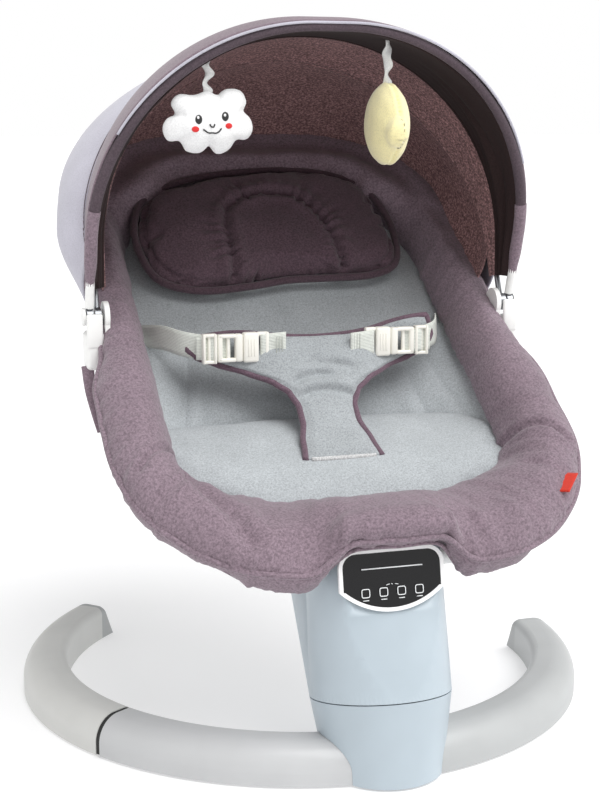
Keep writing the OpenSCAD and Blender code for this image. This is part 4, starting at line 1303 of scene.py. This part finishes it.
class SWING_OT_column(bpy.types.Operator):
    """Column, swivelling head and touch panel"""
    bl_idname = "swing.column"
    bl_label = "Column and Panel"

    def execute(self, context):
        shades = context.scene.swing_colours
        satin = moulded("Pale blue satin ABS", shades.shell, 0.34, grain=0.5)
        white = moulded("White gloss ABS", (0.97, 0.97, 0.97), 0.25)
        clothe("column_cup", satin)
        smooth_copy("head_front", "head_front_shell", satin, "seat")
        smooth_copy("head_back", "head_rear_shell", satin, "seat")
        clothe("panel_bezel", white)
        # Cast acrylic, deep black and glossy, with finger smears that break up its reflections
        glass, shader, where = finish_of("Black acrylic lens", (0.006, 0.006, 0.007), 0.06,
                                         **{"Coat Weight": 0.6, "IOR": 1.49})
        smear = add(glass, "ShaderNodeTexNoise", {"Scale": 1 / (18 * MM), "Detail": 3.0}, Vector=where)
        rub = add(glass, "ShaderNodeMapRange", {"To Min": 0.03, "To Max": 0.12}, Value=smear.outputs["Fac"])
        glass.node_tree.links.new(rub.outputs["Result"], shader.inputs["Roughness"])
        clothe("panel_lens", glass)
        print_white = moulded("White screen print", (0.85, 0.87, 0.88), 0.5)
        # The print lies on the lens's face: a bar, and a rounded square over a dash for each key
        face = -50.4
        normal = on_column(0, 1, 0) - on_column(0, 0, 0)
        rounded = ((-0.9, -0.9), (0, -1.02), (0.9, -0.9), (1.02, 0),
                   (0.9, 0.9), (0, 1.02), (-0.9, 0.9), (-1.02, 0))
        bm = bmesh.new()

        def strip(x0, t0, x1, t1, width):
            ends = [on_column(x0, face, t0), on_column(x1, face, t1)]
            tube(ends, width * MM, sides=8, bm=bm, flat=0.3, up=normal)
        strip(-29, 119.5, 29, 119.5, 0.55)
        for x in (-26, -9, 8, 25):
            key = spline([(x + 3.6 * a, 98 + 3.6 * b, 0) for a, b in rounded], closed=True)
            line = [on_column(key(i / 32)[0], face, key(i / 32)[1]) for i in range(32)]
            tube(line, 0.42 * MM, closed=True, sides=8, bm=bm, flat=0.4, up=normal)
            strip(x - 2.8, 91.6, x + 2.8, 91.6, 0.4)
        for x0, t0, x1, t1 in ((-6.5, 104, -3, 104.8), (-1.5, 105.2, -0.4, 104.2), (2, 104.6, 5, 104)):
            strip(x0, t0, x1, t1, 0.3)
        piece("panel_print", out(bm), print_white, "seat")
        return {"FINISHED"}


class SWING_OT_floor_ring(bpy.types.Operator):
    """Painted tubes, joint and pads of the floor ring"""
    bl_idname = "swing.floor_ring"
    bl_label = "Floor Ring"

    def execute(self, context):
        shades = context.scene.swing_colours
        clothe("left_leg", moulded("Warm grey powder coat", shades.left_leg, 0.42, grain=0.6))
        clothe("front_tube", moulded("Silver metallic paint", shades.front_tube, 0.3, grain=0.3))
        clothe("right_leg", moulded("Light silver paint", shades.right_leg, 0.38, grain=0.5))
        clothe("end_caps", moulded("Grey end cap PP", dim(shades.right_leg, 0.93), 0.45))
        clothe("leg_joint_band", moulded("Black gasket rubber", (0.02, 0.02, 0.02), 0.7))
        clothe("floor_pads", moulded("Charcoal TPE", (0.03, 0.03, 0.032), 0.8))
        return {"FINISHED"}


class SWING_OT_inner_works(bpy.types.Operator):
    """Drive, boards, bearings and frame parts"""
    bl_idname = "swing.inner_works"
    bl_label = "Inner Works"

    def execute(self, context):
        shades = context.scene.swing_colours
        steel = metal("Zinc-plated steel", (0.55, 0.56, 0.58), 0.35)
        bright = metal("Ground shaft steel", (0.62, 0.63, 0.65), 0.2)
        copper = metal("Enamelled copper winding", (0.62, 0.30, 0.15), 0.35, scratch=0.2)
        bronze = metal("Sintered bronze", (0.55, 0.40, 0.22), 0.5)
        board = moulded("Green solder mask", (0.02, 0.14, 0.06), 0.35)
        nylon = moulded("Natural nylon", (0.72, 0.70, 0.62), 0.45)
        black = moulded("Black PBT", (0.02, 0.02, 0.022), 0.5)
        white = moulded("White socket ABS", shades.trim, 0.35)
        tube_paint = metal("Grey-painted steel tube", (0.4, 0.41, 0.43), 0.4)
        finishes = (
            (steel, ("steel_spine", "swing_carrier", "base_screws", "head_screws", "bow_screws",
                     "retaining_clip")),
            (bright, ("pivot_post", "drive_magnet")),
            (copper, ("drive_coil",)),
            (bronze, ("thrust_washer",)),
            (board, ("drive_board", "control_board")),
            (nylon, ("lower_bush", "upper_bush")),
            (black, ("power_inlet", "speaker", "coil_core", "cup_floor")),
            (white, ("left_socket", "right_socket")),
            (tube_paint, ("left_seat_tube", "right_seat_tube", "head_bow")))
        for material, nodes in finishes:
            for name in nodes:
                clothe(name, material)
        return {"FINISHED"}


class SWING_OT_stage(bpy.types.Operator):
    """Pale floor, soft studio light and the camera"""
    bl_idname = "swing.stage"
    bl_label = "Stage"

    def execute(self, context):
        scene = context.scene
        # The paper glows a little, as over a light table, so that it shows only soft shadows
        paper, _, _ = finish_of("Matt white backdrop paper", (0.62, 0.62, 0.625), 0.95,
                                **{"Specular IOR Level": 0.1, "Emission Color": (1, 1, 1, 1),
                                   "Emission Strength": 0.42})
        bm = bmesh.new()
        bmesh.ops.create_grid(bm, x_segments=1, y_segments=1, size=60)
        floor = piece("floor", bm, paper)
        world = bpy.data.worlds.new("Soft studio")
        world.use_nodes = True
        # White surround that lights the swing with half its strength, so that the hood shades its inside
        sky = world.node_tree.nodes["Background"]
        sky.inputs["Color"].default_value = (1, 1, 1, 1)
        seen = world.node_tree.nodes.new("ShaderNodeLightPath")
        level = world.node_tree.nodes.new("ShaderNodeMapRange")
        level.inputs["To Min"].default_value, level.inputs["To Max"].default_value = 0.5, 1.0
        world.node_tree.links.new(seen.outputs["Is Camera Ray"], level.inputs["Value"])
        world.node_tree.links.new(level.outputs["Result"], sky.inputs["Strength"])
        scene.world = world
        for name, toward, strength, spread in (("Key", (-0.28, 0.42, -0.86), 2.5, 50),
                                               ("Left", (0.85, 0.15, -0.35), 0.45, 60),
                                               ("Right", (-0.85, 0.2, -0.35), 0.5, 60)):
            light = bpy.data.lights.new(name, "SUN")
            light.energy, light.angle = strength, math.radians(spread)
            lamp = bpy.data.objects.new(name, light)
            lamp.rotation_euler = Vector(toward).to_track_quat("-Z", "Y").to_euler()
            scene.collection.objects.link(lamp)
        lens = bpy.data.cameras.new("Camera")
        lens.lens, lens.sensor_width, lens.sensor_fit = 67.5, 36, "AUTO"
        camera = bpy.data.objects.new("Camera", lens)
        camera.location = (-0.456, -1.461, 0.587)
        camera.rotation_euler = (math.radians(79.5), 0, math.radians(-17))
        scene.collection.objects.link(camera)
        scene.camera = camera
        scene.view_settings.view_transform = "Standard"
        return {"FINISHED"}


class SWING_PT_panel(bpy.types.Panel):
    """Steps that dress the swing's frame"""
    bl_idname = "SWING_PT_panel"
    bl_label = "Baby Swing"
    bl_space_type = "VIEW_3D"
    bl_region_type = "UI"
    bl_category = "Swing"

    def draw(self, context):
        for group in (context.scene.swing_sizes, context.scene.swing_colours):
            box = self.layout.box()
            for name in group.__annotations__:
                box.prop(group, name)
        for step in STEPS:
            self.layout.operator(step.bl_idname)


STEPS = (SWING_OT_stage, SWING_OT_floor_ring, SWING_OT_column, SWING_OT_inner_works, SWING_OT_padded_rim,
         SWING_OT_seat_pads, SWING_OT_pillow, SWING_OT_harness, SWING_OT_hood, SWING_OT_toys)
CLASSES = (SwingColours, SwingSizes, *STEPS, SWING_PT_panel)


def register():
    for cls in CLASSES:
        bpy.utils.register_class(cls)
    bpy.types.Scene.swing_colours = PointerProperty(type=SwingColours)
    bpy.types.Scene.swing_sizes = PointerProperty(type=SwingSizes)


def unregister():
    del bpy.types.Scene.swing_sizes
    del bpy.types.Scene.swing_colours
    for cls in reversed(CLASSES):
        bpy.utils.unregister_class(cls)


def main():
    register()
    for step in STEPS:
        group, name = step.bl_idname.split(".")
        getattr(getattr(bpy.ops, group), name)()
    bpy.context.view_layer.update()


if __name__ == "__main__":
    main()
